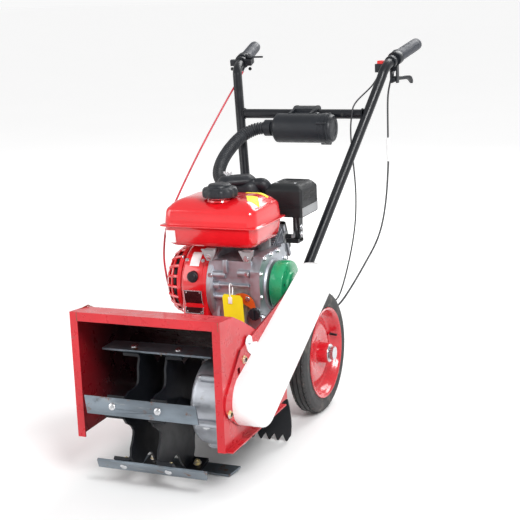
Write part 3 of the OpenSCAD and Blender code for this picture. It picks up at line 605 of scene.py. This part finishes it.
# ---------------------------------------------------------------- rotor, scraper and hood welds
def make_rotor_plates():
    """Two flame-cut plates with hollowed sides between their arms, bent into tabs under the bars."""
    hub = Vector((0, JOINT_AT["rotor_spin"].y, JOINT_AT["rotor_spin"].z))
    arms = turns(BARS, 180 + FIRST_BAR_DEGREES)
    section = [(-2.5, 136), (2.5, 136), (2.8, 138.4), (4, 139.4), (6, 139.6), (38, 139.6), (38, 146.3),
               (4, 146.3), (0, 145.2), (-2, 142.5)]
    for name, plate_x, fold, replaces in (("left", -87, -1, ()), ("right", -21, 1, ["rotor_carrier"])):
        plate = Piece()
        outline = []
        for arm in arms:
            for step in range(-2, 3):
                outline.append((arm + math.radians(step * 4.6), 139))
            for part, radius in ((0.16, 126), (0.26, 112), (0.38, 103), (0.5, 99.5), (0.62, 103), (0.74, 112),
                                 (0.84, 126)):
                outline.append((arm + math.radians(9.2 + 41.6 * part), radius))
        points = [spoke(hub, turn, radius) for turn, radius in outline]
        plate.slab([(point.y, point.z) for point in points], plate_x - 2.5, plate_x + 2.5)
        for arm in arms:
            out = Vector((0, math.cos(arm), math.sin(arm)))
            along = Vector((0, -math.sin(arm), math.cos(arm)))
            rings = []
            for across in (-24, 24):
                rings.append([tuple(hub + Vector((plate_x + fold * a, 0, 0)) + out * r + along * across)
                              for a, r in section])
            plate.loft(rings)
        plate.done(f"rotor_plate_{name}", "black_steel", "rotor", replaces, sharp=40)
    tube = Piece()
    for start, end in ((-100, -90), (-84.5, -23.5), (-18.5, 12)):
        tube.lathe([(15.1, start), (24, start), (24, end), (15.1, end)], hub, X_AXIS, 48, True)
    for at_x in (-84.5, -23.5, -18.5, -89.5):
        tube.lathe([(24, at_x - 3), (28, at_x), (24, at_x + 3)], hub, X_AXIS, 48, True)
    tube.done("rotor_hub_tubes", "black_steel", "rotor")
    bolts = Piece()
    nuts = Piece()
    head = [(0.4, 155), (4, 154.9), (6.4, 154.3), (8, 153), (8.4, 151.6), (4.1, 151.5)]
    for arm in arms:
        out = Vector((0, math.cos(arm), math.sin(arm)))
        for at_x in (-108, 0.3):
            seat = hub + Vector((at_x, 0, 0))
            bolts.lathe(head, seat, out, 32)
            nuts.hex_bolt(tuple(seat + out * 139.4), -out, 7.2, 7)
            nuts.rod(3.9, seat + out * 132, seat + out * 128.6, 20, 0.6)
    bolts.done("rotor_bolt_heads", "bright_steel", "rotor", ["rotor_bolts"], sharp=40)
    nuts.done("rotor_bolt_nuts", "yellow_zinc", "rotor")


def make_scraper():
    """The rear scraper with bowed side edges and rounded points."""
    low, high = corner("rear_scraper")
    lean = math.radians(9)
    width, pitch = high.x - low.x, (high.x - low.x) / 16
    edge = [(0, 0), (-3, -22), (-4, -48), (-3, -70), (0, -92)]
    teeth = []
    for k in range(16):
        left = k * pitch
        teeth += [(left + u, v) for u, v in ((1.2, -95), (3.5, -104), (5.6, -110), (8, -112.3),
                                             (10.6, -111.5), (13.4, -107), (17, -101.5), (20.6, -96.6))]
    right_edge = [(width - 0.2, -92), (width + 3, -70), (width + 4, -48), (width + 3, -22), (width, 0)]
    hinge_y, hinge_z = -203.5, 112
    rings = []
    for depth in (-3.6, -0.2):
        rings.append([(low.x + u, hinge_y - v * math.sin(lean) - depth * math.cos(lean),
                       hinge_z + v * math.cos(lean) - depth * math.sin(lean))
                      for u, v in edge + teeth + right_edge])
    scraper = Piece().loft(rings)
    scraper.done("rear_scraper_blade", "black_steel", replaces=["rear_scraper"], sharp=50)


def make_welds():
    """Weld runs down the hood's front corners and along the top of its left wall."""
    beads = Piece()
    left, right, front = corner("hood_left_wall")[0].x, corner("hood_top")[1].x, corner("hood_top")[0].y
    for x in (left + 17, right - 1):
        for k in range(9):
            z = 376 + k * 2.1
            beads.rod(1.6, (x - 1.2, front + 0.9, z), (x + 1.2, front + 0.9, z + 0.8), 8, 0.5)
    for k in range(26):
        y = front + 8 + k * 6
        z = 391 - max(0, y + 488) * 0.5
        beads.rod(1.5, (left + 4.2, y, z), (left + 4.2, y + 5, z), 8, 0.4)
    beads.done("hood_welds", "rust_weld", sharp=60)


make_rotor_plates()
make_scraper()
make_welds()


# ---------------------------------------------------------------- engine
def rounded_ring(left, right, front, back, radius, z, steps=10):
    """A rounded rectangle of points at one height."""
    ring = []
    for cx, cy, start in ((right - radius, back - radius, 0), (left + radius, back - radius, 90),
                          (left + radius, front + radius, 180), (right - radius, front + radius, 270)):
        for k in range(steps + 1):
            turn = math.radians(start + 90 * k / steps)
            ring.append((cx + radius * math.cos(turn), cy + radius * math.sin(turn), z))
    return ring


def make_tank():
    """Two pressed halves with a folded seam, softly crowned on top, and a filler neck."""
    left, right, front, back = TANK_LOW.x, TANK_HIGH.x, TANK_LOW.y, TANK_HIGH.y

    def layers(table):
        return [rounded_ring(left + inset, right - inset, front + inset, back - inset, radius, z)
                for z, inset, radius in table]

    top = CAP_TOP - 35.6
    seam = 514
    skin = [(462.5, 50, 12), (463, 30, 16), (465.5, 21, 19), (470, 15.5, 21), (478, 12, 22), (492, 9.5, 22),
             (506, 8, 22), (seam - 3, 7.6, 22), (seam - 1.7, 6, 21), (seam - 1.4, 0.8, 15),
             (seam - 0.8, 0, 15), (seam + 0.8, 0, 15), (seam + 1.4, 0.8, 15), (seam + 1.7, 6, 21),
             (seam + 3, 7.6, 22), (seam + 16, 8.6, 22), (seam + 30, 10.4, 21), (seam + 36, 12, 20),
             (seam + 40.5, 15, 19), (seam + 44, 19.5, 17), (top - 13, 24, 16), (top - 7, 33, 14),
             (top - 3.4, 41, 12), (top - 1.4, 49, 10), (top - 0.5, 60, 8), (top, 80, 6)]
    Piece().loft(layers(skin)).done("fuel_tank_shell", "tank_red", replaces=["fuel_tank"], sharp=48)
    cap_at = JOINT_AT["fuel_cap_turn"]
    collar = [(20, top - 8), (31, top - 6), (29.5, top - 2), (26, top), (26, top + 3), (20, top + 3)]
    neck = Piece().lathe(collar, (cap_at.x, cap_at.y, 0), Z_AXIS, 48, True)
    neck.done("fuel_tank_neck", "tank_red")
    slope = [(inset, z) for z, inset, _ in skin if z > seam + 3]

    def top_at(x, y):
        """Height of the tank's upper skin over a point."""
        inset = min(right - x, x - left, back - y, y - front)
        for (near, low_z), (far, high_z) in zip(slope, slope[1:]):
            if inset <= far:
                return low_z + (high_z - low_z) * max(0.0, inset - near) / (far - near)
        return top

    labels = Piece()
    for centre, lengthwise, half_long, half_wide in (((40, -127, 0), (0.45, -0.89), 24, 14),
                                                     ((25, -64, 0), (1, 0), 27, 6)):
        u, v = Vector((*lengthwise, 0)), Vector((-lengthwise[1], lengthwise[0], 0))
        rings = []
        for step in range(9):
            mid = Vector(centre) + u * half_long * (step / 4 - 1)
            line = [mid + v * half_wide * (k / 3 - 1) for k in range(7)]
            over = [(p.x, p.y, top_at(p.x, p.y) + 0.8) for p in line]
            under = [(p.x, p.y, top_at(p.x, p.y) - 1.5) for p in reversed(line)]
            rings.append(over + under)
        labels.loft(rings)
    labels.done("tank_top_label", TAG_YELLOW, sharp=60)
    front_label = Piece()
    front_label.slab([(-158, 474), (-134, 474), (-134, 503), (-158, 503)], front + 7.2, front + 14, "y")
    front_label.done("tank_front_label", TIE_WHITE, sharp=60)


def make_cap():
    """A moulded cap with a lobed skirt and a stepped top."""
    at = JOINT_AT["fuel_cap_turn"]

    def lobes(turn, along):
        depth = 0.07 if along < 21 else 0.0
        return depth * (math.cos(10 * turn) - 1) * 0.5

    profile = [(19.5, 3), (19.5, 0), (38, 0), (42, 2), (43.2, 6), (43.2, 13), (42, 18), (38.5, 21.5),
               (32, 23.5), (28, 24.2), (27, 28), (24.5, 30.4), (10, 31.6), (0.5, 31.8)]
    Piece().lathe(profile, (at.x, at.y, CAP_TOP - 32), Z_AXIS, 160, False, lobes).done(
        "fuel_cap_moulding", "black_plastic", "fuel_cap", ["fuel_cap"], sharp=40)


def make_fan_side():
    """The fan shroud with its flange, cage, screen, bolts, round switch, blank plate and plain label."""
    low, high = corner("fan_cover")
    shroud_r = 95

    def ring_part(piece, profile, sides=96):
        return piece.lathe(profile, CRANK_AT, X_AXIS, sides, True)

    flange = ring_part(Piece(), [(70, -60.2), (95, -60.2), (97.5, -58), (97.5, -48), (93, -44), (70, -43)])
    flange.done("crankcase_ring", "cast_aluminium")
    shroud = Piece()
    arc = [spoke(CRANK_AT, math.radians(-68 + 248 * k / 48), shroud_r) for k in range(49)]
    outline = [(point.y, point.z) for point in arc]
    outline += [(-189.5, 330), (-189.5, 259.5), (-62.5, 259.5), (-62.5, 275)]

    def ring(x, cut):
        middle_y, middle_z, scale = CRANK_Y, 345, 1 - cut / shroud_r
        return [(x, middle_y + (y - middle_y) * scale, middle_z + (z - middle_z) * scale) for y, z in outline]

    steps = [(high.x, 0), (-66, 0), (-67, 1.2), (-72, 1.2), (-73, 0), (-118, 0), (-123, 1.6), (-127, 4.6),
             (-129.6, 9.5), (low.x, 14)]
    shroud.loft([ring(x, cut) for x, cut in steps])
    shroud.done("fan_shroud", "tank_red", replaces=["fan_cover"], sharp=40)
    cage = Piece()
    ring_part(cage, [(86, -130.4), (88, -131), (88, -140), (85, -143), (80, -144), (80, -131)])
    ring_part(cage, [(68, -169), (71, -171), (64, -177.3), (50, -177.8), (46, -177.8), (46, -173),
                     (64, -173)])
    ring_part(cage, [(22, -177.8), (32, -177.8), (32, -173), (22, -173)], 64)
    ring_part(cage, [(77, -155.5), (80, -156.5), (78.5, -161), (75, -160)])
    for k, turn in enumerate(turns(20)):
        rib = [spoke(CRANK_AT, turn, radius, x) for radius, x in ((84, -138), (78.5, -158), (68.5, -171.5))]
        cage.tube(rib, 4.0, 8)
        if k % 2 == 0:
            cage.tube([spoke(CRANK_AT, turn, radius, -175.5) for radius in (28, 50)], 2.4, 8)
    cage.done("recoil_cage", "tank_red", replaces=["recoil_housing"], sharp=40)
    inside = Piece().lathe([(76, -130.5), (74, -150), (62, -167), (20, -168)], CRANK_AT, X_AXIS, 64)
    inside.done("recoil_screen", "head_black")
    bolts = Piece()
    for turn in turns(4, 40):
        bolts.hex_bolt(spoke(CRANK_AT, turn, 90, -131), -X_AXIS, 4, 3.5)
    for x in (-112, -70):
        bolts.hex_bolt((x, -182, 430), (0, -0.75, 0.66), 3.4, 3)
    bolts.done("fan_cover_bolts", "bright_steel")
    front = CRANK_Y - shroud_r
    switch = Piece().rod(13.5, (-95, front + 12, 392), (-95, front - 1.5, 392), 48, 1.5)
    switch.rod(9.5, (-95, front, 392), (-95, front - 3.2, 392), 40, 1.2)
    switch.done("round_switch", "black_plastic")
    strip = [spoke(CRANK_AT, math.radians(180 - rise), shroud_r + 0.5) for rise in (34, 40, 46, 52, 58)]
    sticker = Piece().loft([[(-108, p.y, p.z), (-84, p.y, p.z), (-84, p.y + 2, p.z - 1),
                             (-108, p.y + 2, p.z - 1)] for p in strip])
    sticker.done("fan_cover_label", TIE_WHITE, sharp=60)
    make_blank_plate()


def make_blank_plate():
    """A dark plate without marks, bent round the shroud, with a bright rim and four rivets."""
    left, right = -118, -72
    rows = [(p.y, p.z) for p in (spoke(CRANK_AT, math.radians(180 + lean), 96.2) for lean in range(2, 28, 5))]
    rows += [(CRANK_Y - 90.8, z) for z in (316, 309, 302)]
    plate = Piece()
    plate.loft([[(left, y, z), (right, y, z), (right, y + 2, z), (left, y + 2, z)] for y, z in rows])
    plate.done("blank_plate", PLATE_DARK)
    rim = Piece()
    for x in (left, right):
        rim.tube([(x, y - 0.4, z) for y, z in rows], 1.1, 8)
    for y, z in (rows[0], rows[-1]):
        rim.tube([(left, y - 0.4, z), (right, y - 0.4, z)], 1.1, 8)
    for x in (left + 5, right - 5):
        for (y, z), inward in ((rows[0], -4), (rows[-1], 4)):
            rim.rod(2.2, (x, y + 1, z + inward), (x, y - 1.8, z + inward), 16, 0.4)
    rim.done("blank_plate_rim", "bright_steel")


def make_crankcase():
    """Bosses, tie bolts, ribs and the flange bolts of the castings, and the filler with its label."""
    castings = Piece()
    for x0, x1, z, radius in ((-46, -14, 398, 9), (18, 48, 404, 9), (-50, 46, 346, 6.5), (-50, -30, 372, 10)):
        castings.rod(radius, (x0, -179, z), (x1, -179, z), 28, 1.2)
    castings.block((-48, -188, 372), (48, -176, 378), 2)
    castings.block((-20, -186, 402), (-8, -172, 436), 3)
    for x in (-40, 30):
        castings.slab([(-190, 262), (-176, 330), (-168, 330), (-168, 262)], x, x + 7)
    castings.lathe([(50, 72), (62, 74), (60, 79), (44, 82), (36, 83), (36, 74)], CRANK_AT, X_AXIS, 64, True)
    castings.rod(13, (62, -191, 312), (62, -176, 312), 32, 1.5)
    castings.slab([(-20, 300), (-12, 300), (20, 380), (12, 440), (-10, 440)], 30, 60)
    castings.done("crankcase_bosses", "cast_aluminium", sharp=38)
    bolts = Piece()
    for y, z in ((-178, 300), (-184, 350), (-182, 404), (-158, 436), (-118, 438), (-66, 438), (-22, 410),
                 (-18, 340), (-30, 274), (-100, 270), (-165, 272)):
        bolts.hex_bolt((74, y + (4 if y < -100 else -4), z), X_AXIS, 5.2, 5)
    for x, z in ((44, 404), (-50, 398), (44, 346), (-56, 346)):
        bolts.hex_bolt((x, -190, z), -Y_AXIS, 4.6, 4)
    bolts.hex_bolt((-18, -190, 268), -Y_AXIS, 6, 6)
    bolts.done("crankcase_bolts", "bright_steel")
    label = Piece()
    inner, outer = [], []
    for k in range(13):
        part = k / 12
        turn = math.radians(96 - 88 * part)
        wide = 5.0 + 7.5 * math.sin(math.pi * min(1.0, part * 1.2))
        for edge, radius in ((inner, 44 - wide), (outer, 44 + wide)):
            edge.append((18 + radius * math.cos(turn), 306 + radius * math.sin(turn)))
    label.slab(inner + list(reversed(outer)), -190.6, -189.2, "y")
    label.done("filler_label", LABEL_ORANGE, sharp=60)
    plug_at = middle("dipstick")
    plug = Piece()

    def ribs(turn, along):
        return 0.05 * (math.cos(12 * turn) - 1) * 0.5 if along < 7.5 else 0.0

    plug.lathe([(0.5, 0), (13.4, 0), (15, 1.6), (15, 7), (13, 9.4), (8, 10), (7.9, 24)],
               (plug_at.x, -200, plug_at.z), Y_AXIS, 96, False, ribs)
    plug.block((plug_at.x - 2.5, -203.5, plug_at.z - 12), (plug_at.x + 2.5, -199, plug_at.z + 12), 1.2)
    plug.done("dipstick_plug", "black_plastic", "dipstick", ["dipstick"], sharp=40)


def make_tank_brackets():
    """Two tapered plates under the tank's front, with a foot and a bolt each, and two short ones behind."""
    plates = Piece()
    screws = Piece()
    for x in (-62, 34):
        plates.slab([(x - 6, 461.5), (x + 32, 461.5), (x + 30, 452), (x + 24, 441), (x + 20, 434),
                     (x + 8, 434), (x + 4, 441)], -196, -193, "y")
        plates.slab([(-195, 434), (-178, 432), (-178, 435), (-193, 438)], x + 8, x + 20)
        plates.block((x + 2, -196, 458.5), (x + 26, -178, 461.5), 0.5)
        screws.hex_bolt((x + 14, -196, 444), -Y_AXIS, 5, 4.5)
    for x in (-50, 20):
        plates.block((x, -60, 432), (x + 30, -49, 461.5), 1)
    plates.done("tank_bracket_plates", "bracket_grey", replaces=["tank_brackets"])
    screws.done("tank_bracket_screws", "bright_steel")


def make_tag():
    """A blank card tag with a folded tie, hung on the crankcase stud."""
    tag = Piece()
    outline = [(-14, 352), (-9, 359), (31, 357), (37, 350), (40, 290), (-11, 292)]
    tag.loft([[(x, y - 0.0011 * (z - 320) ** 2, z) for x, z in outline] for y in (-203.4, -202.8)])
    tag.done("hang_tag_card", TAG_YELLOW, sharp=60)
    tie = Piece().tube(smooth_path([(8, -203, 346), (6, -205.5, 356), (4, -202, 370), (2, -194, 381),
                                    (4, -186, 374), (6, -190, 360), (8, -203, 348)], 5), 1.6, 8)
    tie.block((1, -206.5, 336), (11, -204.2, 352), 1.0)
    tie.done("hang_tag_tie", TIE_WHITE)


def make_drum():
    """The turned green drum: a raised rim, a stepped boss and a small hole in its face, drawn as a dark disc of
    painted shade.
    """
    drum = Piece()
    drum.lathe([(12.6, 84.2), (54, 84.2), (57.5, 85.2), (59, 88), (59, 114.5), (57.8, 117.2), (54, 118),
                (34, 118), (32.5, 118.8), (31, 123), (29, 124), (20, 124.2), (19, 125.6), (12.6, 125.8)],
               CRANK_AT, X_AXIS, 128, True)
    drum.done("clutch_drum_turned", "drum_green", "crank", ["clutch_drum"], sharp=32)
    # The hole is a thin dark disc on the face: painted shade in the hole.
    hole_at = CRANK_AT + Vector((117.6, -42, 10))
    hole = Piece().rod(3.6, hole_at, hole_at + 0.55 * X_AXIS, 24, 0.1)
    hole.done("clutch_drum_hole_shade", "head_black", "crank")


def make_muffler():
    """A pressed guard with chamfered top edges, a seam, slots, and the exhaust pipe below it."""
    low, high = corner("muffler_guard")
    left, right, front, back, base, top = low.x, high.x, low.y, high.y, low.z, high.z
    guard = Piece()
    layers = [(base, 0.5), (base + 26, 0.3), (base + 26.6, -0.6), (base + 29.4, -0.6), (base + 30, 0.4),
              (top - 18, 0.6), (top - 15, 1.4), (top - 5, 9), (top - 1.2, 15), (top, 21), (top - 0.2, 26),
              (top - 1.8, 28), (top - 2.0, 44)]
    rings = []
    for z, inset in layers:
        side = max(inset, 0)
        rings.append(rounded_ring(left + side, right - side, front + inset, back - inset, 7, z, 6))
    guard.loft(rings)
    guard.done("muffler_guard_pressing", "head_black", replaces=["muffler_guard"], sharp=32)
    slots = Piece()
    frames = Piece()
    # Each slot is a thin dark plate on the guard's face: painted shade in the opening.
    for z in (top - 39, top - 27):
        for y in (front + 18, front + 62):
            slots.block((right - 0.9, y, z), (right - 0.3, y + 34, z + 6.5), 0.2)
            frames.tube([(right - 0.5, y - 2, z - 1.5), (right - 0.5, y + 36, z - 1.5)], 0.9, 8)
    slots.done("muffler_slot_shade", "belt_rubber")
    frames.done("muffler_slot_ribs", "head_black")
    band = Piece()
    band.slab([(front + 4, base + 2), (back - 4, base + 2), (back - 4, base + 23), (front + 4, base + 23)],
              right - 1.0, right - 0.1)
    band.done("muffler_lower_band", "bracket_grey")
    stay = Piece()
    stay.slab([(front + 6, 440), (front + 26, 440), (front + 30, base + 4), (front + 2, base + 4)], 86, 92)
    stay.slab([(front - 6, 436), (front + 30, 436), (front + 30, 444), (front - 6, 446)], 60, 92)
    stay.done("muffler_stay", "head_black", sharp=38)
    screws = Piece()
    for x in (left + 24, right - 26):
        screws.hex_bolt((x, front + 30, top - 2.4), Z_AXIS, 4.0, 2.2)
    for z in (456, 474):
        screws.hex_bolt((92, front + 15, z), X_AXIS, 5.2, 5)
    screws.done("muffler_screws", "bright_steel")
    route = [(50, 42, 446), (70, 42, 446), (80, 42, 452), (82, 42, 466), (82, 42, 503)]
    pipe = Piece().tube(smooth_path(route, 6), 9, 24)
    pipe.lathe([(9, 0), (15, 0), (15, 4), (9, 4)], route[0], X_AXIS, 32, True)
    pipe.done("muffler_pipe", "bracket_grey")


HOSE_ROUTE = [(-67, 265, 689), (-86, 262, 690), (-112, 252, 686), (-136, 225, 672), (-148, 180, 649),
              (-150, 130, 624), (-143, 88, 601), (-128, 62, 585), (-106, 48, 576)]


def stretched(first, second, radius, z):
    """A level ring round two centres, straight between them."""
    ring = []
    for turn in turns(48):
        out = Vector((math.cos(turn), math.sin(turn)))
        centre = first if first.dot(out) > second.dot(out) else second
        ring.append((*(centre + out * radius), z))
    return ring


def make_elbow():
    """The moulded elbow over the carburettor, its cover, and the wing nut that holds it."""
    elbow = Piece()
    carburettor_top, cover_end, cover_start = Vector((-42, 43)), Vector((-84, 12)), Vector((-50, 38))
    body = [(540, 31, 0), (552, 34, 2), (574, 34, 10), (586, 28, 14), (590, 20, 14)]
    elbow.loft([stretched(carburettor_top, carburettor_top - Vector((reach, 0)), radius, z)
                for z, radius, reach in body])
    cover = [(579.5, 20), (580.5, 24.5), (583, 26.8), (591, 26.8), (593, 25), (595, 23.5), (599.5, 18),
             (601.5, 15), (602, 4)]
    elbow.loft([stretched(cover_start, cover_end, radius, z) for z, radius in cover])
    elbow.tube(smooth_path([(-60, 44, 574), (-84, 45, 576), (-100, 47, 577), (-110, 50, 577.5)], 4), 20.5, 32)
    elbow.lathe([(20, 0), (23.5, 0.5), (23.5, 8), (20, 8.5)], (-104, 46, 577), -X_AXIS, 48, True)
    elbow.tube(smooth_path([(-20, 40, 577), (-4, 40, 578), (1, 46, 570), (0, 60, 560)], 6), 16, 28)
    elbow.done("intake_elbow_moulding", "black_plastic", replaces=["intake_elbow"], sharp=45)
    nut_x, nut_y = cover_end
    nut = Piece().rod(5.5, (nut_x, nut_y, 601), (nut_x, nut_y, 607), 24, 1)
    nut.rod(2.5, (nut_x, nut_y, 600), (nut_x, nut_y, 612), 16, 0.5)
    for side in (-1, 1):
        nut.slab([(nut_x + side * a, z) for a, z in ((3, 601.5), (12, 608), (11, 613), (7, 612), (3, 606))],
                 nut_y - 1, nut_y + 1, "y")
    nut.done("wing_nut", "bright_steel", sharp=40)


def make_hose():
    """The ribbed hose from the canister to the elbow."""
    rib = 7.0

    def ribbed(travelled):
        return 14.4 + 2.4 * (0.5 + 0.5 * math.cos(2 * math.pi * travelled / rib)) ** 0.6

    hose = Piece().tube(smooth_path(HOSE_ROUTE, 34), ribbed, 28)
    hose.done("intake_hose_ribbed", "hose_rubber", replaces=["intake_hose"], sharp=60)


def make_canister():
    """The filter canister with its bracket ribs, its lid and the lid's clips."""
    centre = Vector((0, 265, 690))
    can = Piece()
    can.lathe([(0.5, -67), (16, -67), (18.5, -66), (19.5, -62), (21, -60), (26, -58), (30, -55), (34, -52.5),
               (37, -50), (38, -45), (38, 76), (39.3, 77), (39.3, 83.8), (30, 83.8)], centre, X_AXIS, 96)
    can.lathe([(19.5, -85), (21.5, -84), (21.5, -66), (19.5, -65)], centre, X_AXIS, 48, True)
    for x in (-18, 40):
        can.slab([(300, 700), (262, 724), (262, 729), (296, 737), (308, 743), (324, 743.5), (336, 738),
                  (340, 722), (337, 706), (330, 702), (334, 714), (331, 732), (320, 735.2), (308, 732),
                  (304, 722), (304, 706)], x, x + 7)
    can.block((-26, 284, 712), (56, 304, 728), 4)
    can.slab([(296, 726), (296, 737), (308, 742), (324, 742.6), (334, 738), (332, 734), (322, 736),
              (310, 735)], -16, 46)
    can.done("canister_body", "black_plastic", replaces=["filter_canister"], sharp=42)
    profile = [(30, 84.2), (40, 84.2), (40, 90), (38.6, 91), (38.6, 94), (40, 95), (40, 97), (36, 99),
               (35, 104), (32.5, 106.6), (22, 107), (21, 105.6), (0.5, 105.2)]
    lid = Piece().lathe(profile, centre, X_AXIS, 96)
    lid.done("canister_lid_moulding", "black_plastic", replaces=["canister_lid"], sharp=36)
    clip = Piece()
    for turn in (0.6, 2.7, 4.8):
        at = spoke(centre, turn, 40)
        clip.block((70, at.y - 3, at.z - 3), (98, at.y + 3, at.z + 3), 1.5)
    clip.done("canister_clips", "black_plastic")


make_tank()
make_cap()
make_fan_side()
make_crankcase()
make_tank_brackets()
make_tag()
make_drum()
make_muffler()
make_elbow()
make_hose()
make_canister()


# ---------------------------------------------------------------- handlebars and controls
BAR_ROUTE = [(38, 48, 219), (109, 184, 470), (180, 320, 721), (203.5, 366, 806), (208, 375, 824),
             (212, 389, 838), (216, 412, 847), (221.5, 452, 856), (224, 464, 859)]
RED_ROUTE = [(-214, 440, 838), (-213, 420, 822), (-210, 300, 758), (-204, 120, 658), (-194, -40, 566),
             (-190, -120, 508), (-189, -148, 454), (-189, -150, 400), (-188, -125, 330), (-178, -72, 282),
             (-152, -22, 296), (-122, 14, 314), (-100, 12, 318), (-95, -15, 320)]
CLUTCH_ROUTE = [(211, 452, 816), (196, 472, 786), (190, 470, 743), (195, 450, 651), (202, 425, 573),
                (203, 390, 470), (196, 350, 395), (174, 300, 331), (128, 240, 240), (96, 215, 214),
                (80, 170, 207), (74, 90, 218), (80, 30, 226), (84, -30, 234), (90, -90, 240),
                (104, -140, 256), (128, -170, 278), (138, -182, 292)]
WIRE_ROUTE = [(190, 404, 822), (178, 372, 790), (152, 312, 752), (144, 302, 721), (141, 299, 661),
              (154, 290, 513), (150, 270, 396), (124, 235, 262), (96, 214, 232), (76, 160, 226),
              (60, 110, 240), (40, 60, 270), (20, 22, 292)]
CROSSBAR_AT = Vector((0, 320, 721))


def mirrored(points, side):
    """Points on one side of the machine."""
    return [(side * x, y, z) for x, y, z in points]


def make_handlebars():
    """Tubes, crossbar with weld beads, and ribbed grips."""
    tubes = Piece()
    for side in (-1, 1):
        tubes.tube(smooth_path(mirrored(BAR_ROUTE, side), 10), 12.5, 32)
    tubes.done("handlebar_tube_pair", "black_steel", replaces=["handlebar_tubes"], sharp=50)
    bar = Piece().lathe([(12.5, -168), (12.5, 168), (10.5, 168), (10.5, -168)], CROSSBAR_AT, X_AXIS, 48, True)
    bar.done("crossbar_tube", "black_steel", replaces=["crossbar"], sharp=40)
    # The crossbar's hole is two dark discs on its faces: painted shade in the hole.
    hole = Piece()
    for front in (306.8, 331.6):
        hole.rod(4, (115, front, CROSSBAR_AT.z), (115, front + 1.6, CROSSBAR_AT.z), 24, 0.1)
    hole.done("crossbar_hole_shade", "belt_rubber")
    welds = Piece()
    for side in (-1, 1):
        for turn in turns(18):
            at = spoke(CROSSBAR_AT, turn, 13, side * 167)
            welds.rod(2.6, at - 2.2 * X_AXIS, at + 2.2 * X_AXIS, 10, 1)
    welds.done("crossbar_welds", "black_steel")
    start, end = Vector((221.5, 465, 859)), Vector((240.6, 583, 884.5))
    length = (end - start).length
    for side, label, replaces in ((-1, "left", ()), (1, "right", ["handle_grips"])):
        a, b = Vector((side * start.x, start.y, start.z)), Vector((side * end.x, end.y, end.z))
        profile = [(12.6, -4), (19.2, -4), (19.5, -2.5), (19, 0.8), (16.4, 1.4)]
        steps = 15
        for k in range(steps):
            at = 8 + (length - 24) * k / steps
            profile += [(15.9, at), (16.4, at + 1.2), (16.4, at + 4.8), (15.9, at + 5.6)]
        profile += [(16.4, length - 8), (16.0, length - 3), (13.5, length - 0.4), (0.5, length)]

        def fingers(turn, along):
            return 0.012 * math.cos(turn * 24) if 12 < along < 105 else 0.0

        grip = Piece().lathe(profile, a, b - a, 72, False, fingers)
        grip.done(f"{label}_grip_ribbed", "grip_rubber", replaces=replaces, sharp=35)


def make_throttle_lever():
    """The throttle's lever, its screw and the screws of its clamp."""
    throttle = Piece()
    at = JOINT_AT["throttle_lever_turn"]
    throttle.rod(8, (at.x, at.y, 861.5), (at.x, at.y, 866.5), 32, 0.8)
    turn = math.radians(8)
    along = Vector((math.cos(turn), math.sin(turn), 0))
    across = Vector((-along.y, along.x, 0))
    outline = [(0, -6), (18, -4.2), (34, -5.4), (38, -3), (38, 3), (34, 5.4), (18, 4.2), (0, 6)]
    hub = Vector((at.x, at.y, 0))
    rings = [[tuple(hub + along * a + across * b + Vector((0, 0, z))) for a, b in outline]
             for z in (861.6, 866.2)]
    throttle.loft(rings)
    throttle.done("throttle_lever_blade", "black_plastic", "throttle_lever", ["throttle_lever"], bevel=0.8)
    screws = Piece()
    screws.hex_bolt((at.x, at.y, 868), Z_AXIS, 4, 3, False)
    for x in (-246, -192):
        for z in (833, 851):
            screws.hex_bolt((x, 428, z), -Y_AXIS, 3.6, 3)
    screws.done("throttle_clamp_screws", "head_black")


def make_clutch_lever():
    """The clutch's curved lever, lofted through stations along its length."""
    lever = Piece()
    pivot = JOINT_AT["clutch_lever_pull"]
    stations = [(-8, 0, 4, 212, 220), (-5, 0, 7.5, 212, 220), (0, 0, 8, 212, 220), (12, 0.5, 7.5, 212, 220),
                (28, 0, 5.2, 213.5, 221.5), (50, -1, 4.8, 217, 225.5), (74, -1.5, 5.2, 221, 231),
                (90, -3.5, 6.2, 223, 235), (98, -7.5, 6.5, 224.5, 237), (103, -13, 5.4, 226, 237.5),
                (105.5, -18, 2.5, 228, 236)]
    rings = []
    for out, rise, thick, left, right in stations:
        ring = []
        for turn in turns(16):
            wide, tall = (right - left) / 2, thick
            squash = (abs(math.cos(turn)) ** 4 + abs(math.sin(turn)) ** 4) ** -0.25
            ring.append(((left + right) / 2 + wide * squash * math.cos(turn), pivot.y + out,
                         pivot.z + rise + tall * squash * math.sin(turn)))
        rings.append(ring)
    lever.loft(rings)
    lever.done("clutch_lever_blade", "black_plastic", "clutch_lever", ["clutch_lever"], sharp=50)


def make_cables():
    """The metal cable ends, the three sheaths and the white sleeve on the clutch cable."""
    ends = Piece()
    ends.rod(4.2, (213, 449, 822), (208, 456, 808), 20, 0.8)
    ends.rod(4.0, (140, -184, 293), (130, -164, 282), 20, 0.8)
    ends.rod(4.0, (-214, 441, 839), (-213, 424, 825), 20, 0.8)
    ends.done("cable_ferrules", "bright_steel")
    for node, route, radius, surface in (("throttle_cable", RED_ROUTE, 2.5, "red_sheath"),
                                         ("clutch_cable", CLUTCH_ROUTE, 2.5, "black_sheath"),
                                         ("switch_wire", WIRE_ROUTE, 2.0, "black_sheath")):
        sheath = Piece().tube(smooth_path(route, 10), radius, 14)
        sheath.done(f"{node}_sheath", surface, replaces=[node], sharp=60)
    sleeve = [p for p in smooth_path(CLUTCH_ROUTE, 10) if 578 < p.z < 648 and p.y > 380]
    Piece().tube(sleeve, 4.2, 20).done("clutch_cable_sleeve", TIE_WHITE, sharp=50)


make_handlebars()
make_throttle_lever()
make_clutch_lever()
make_cables()
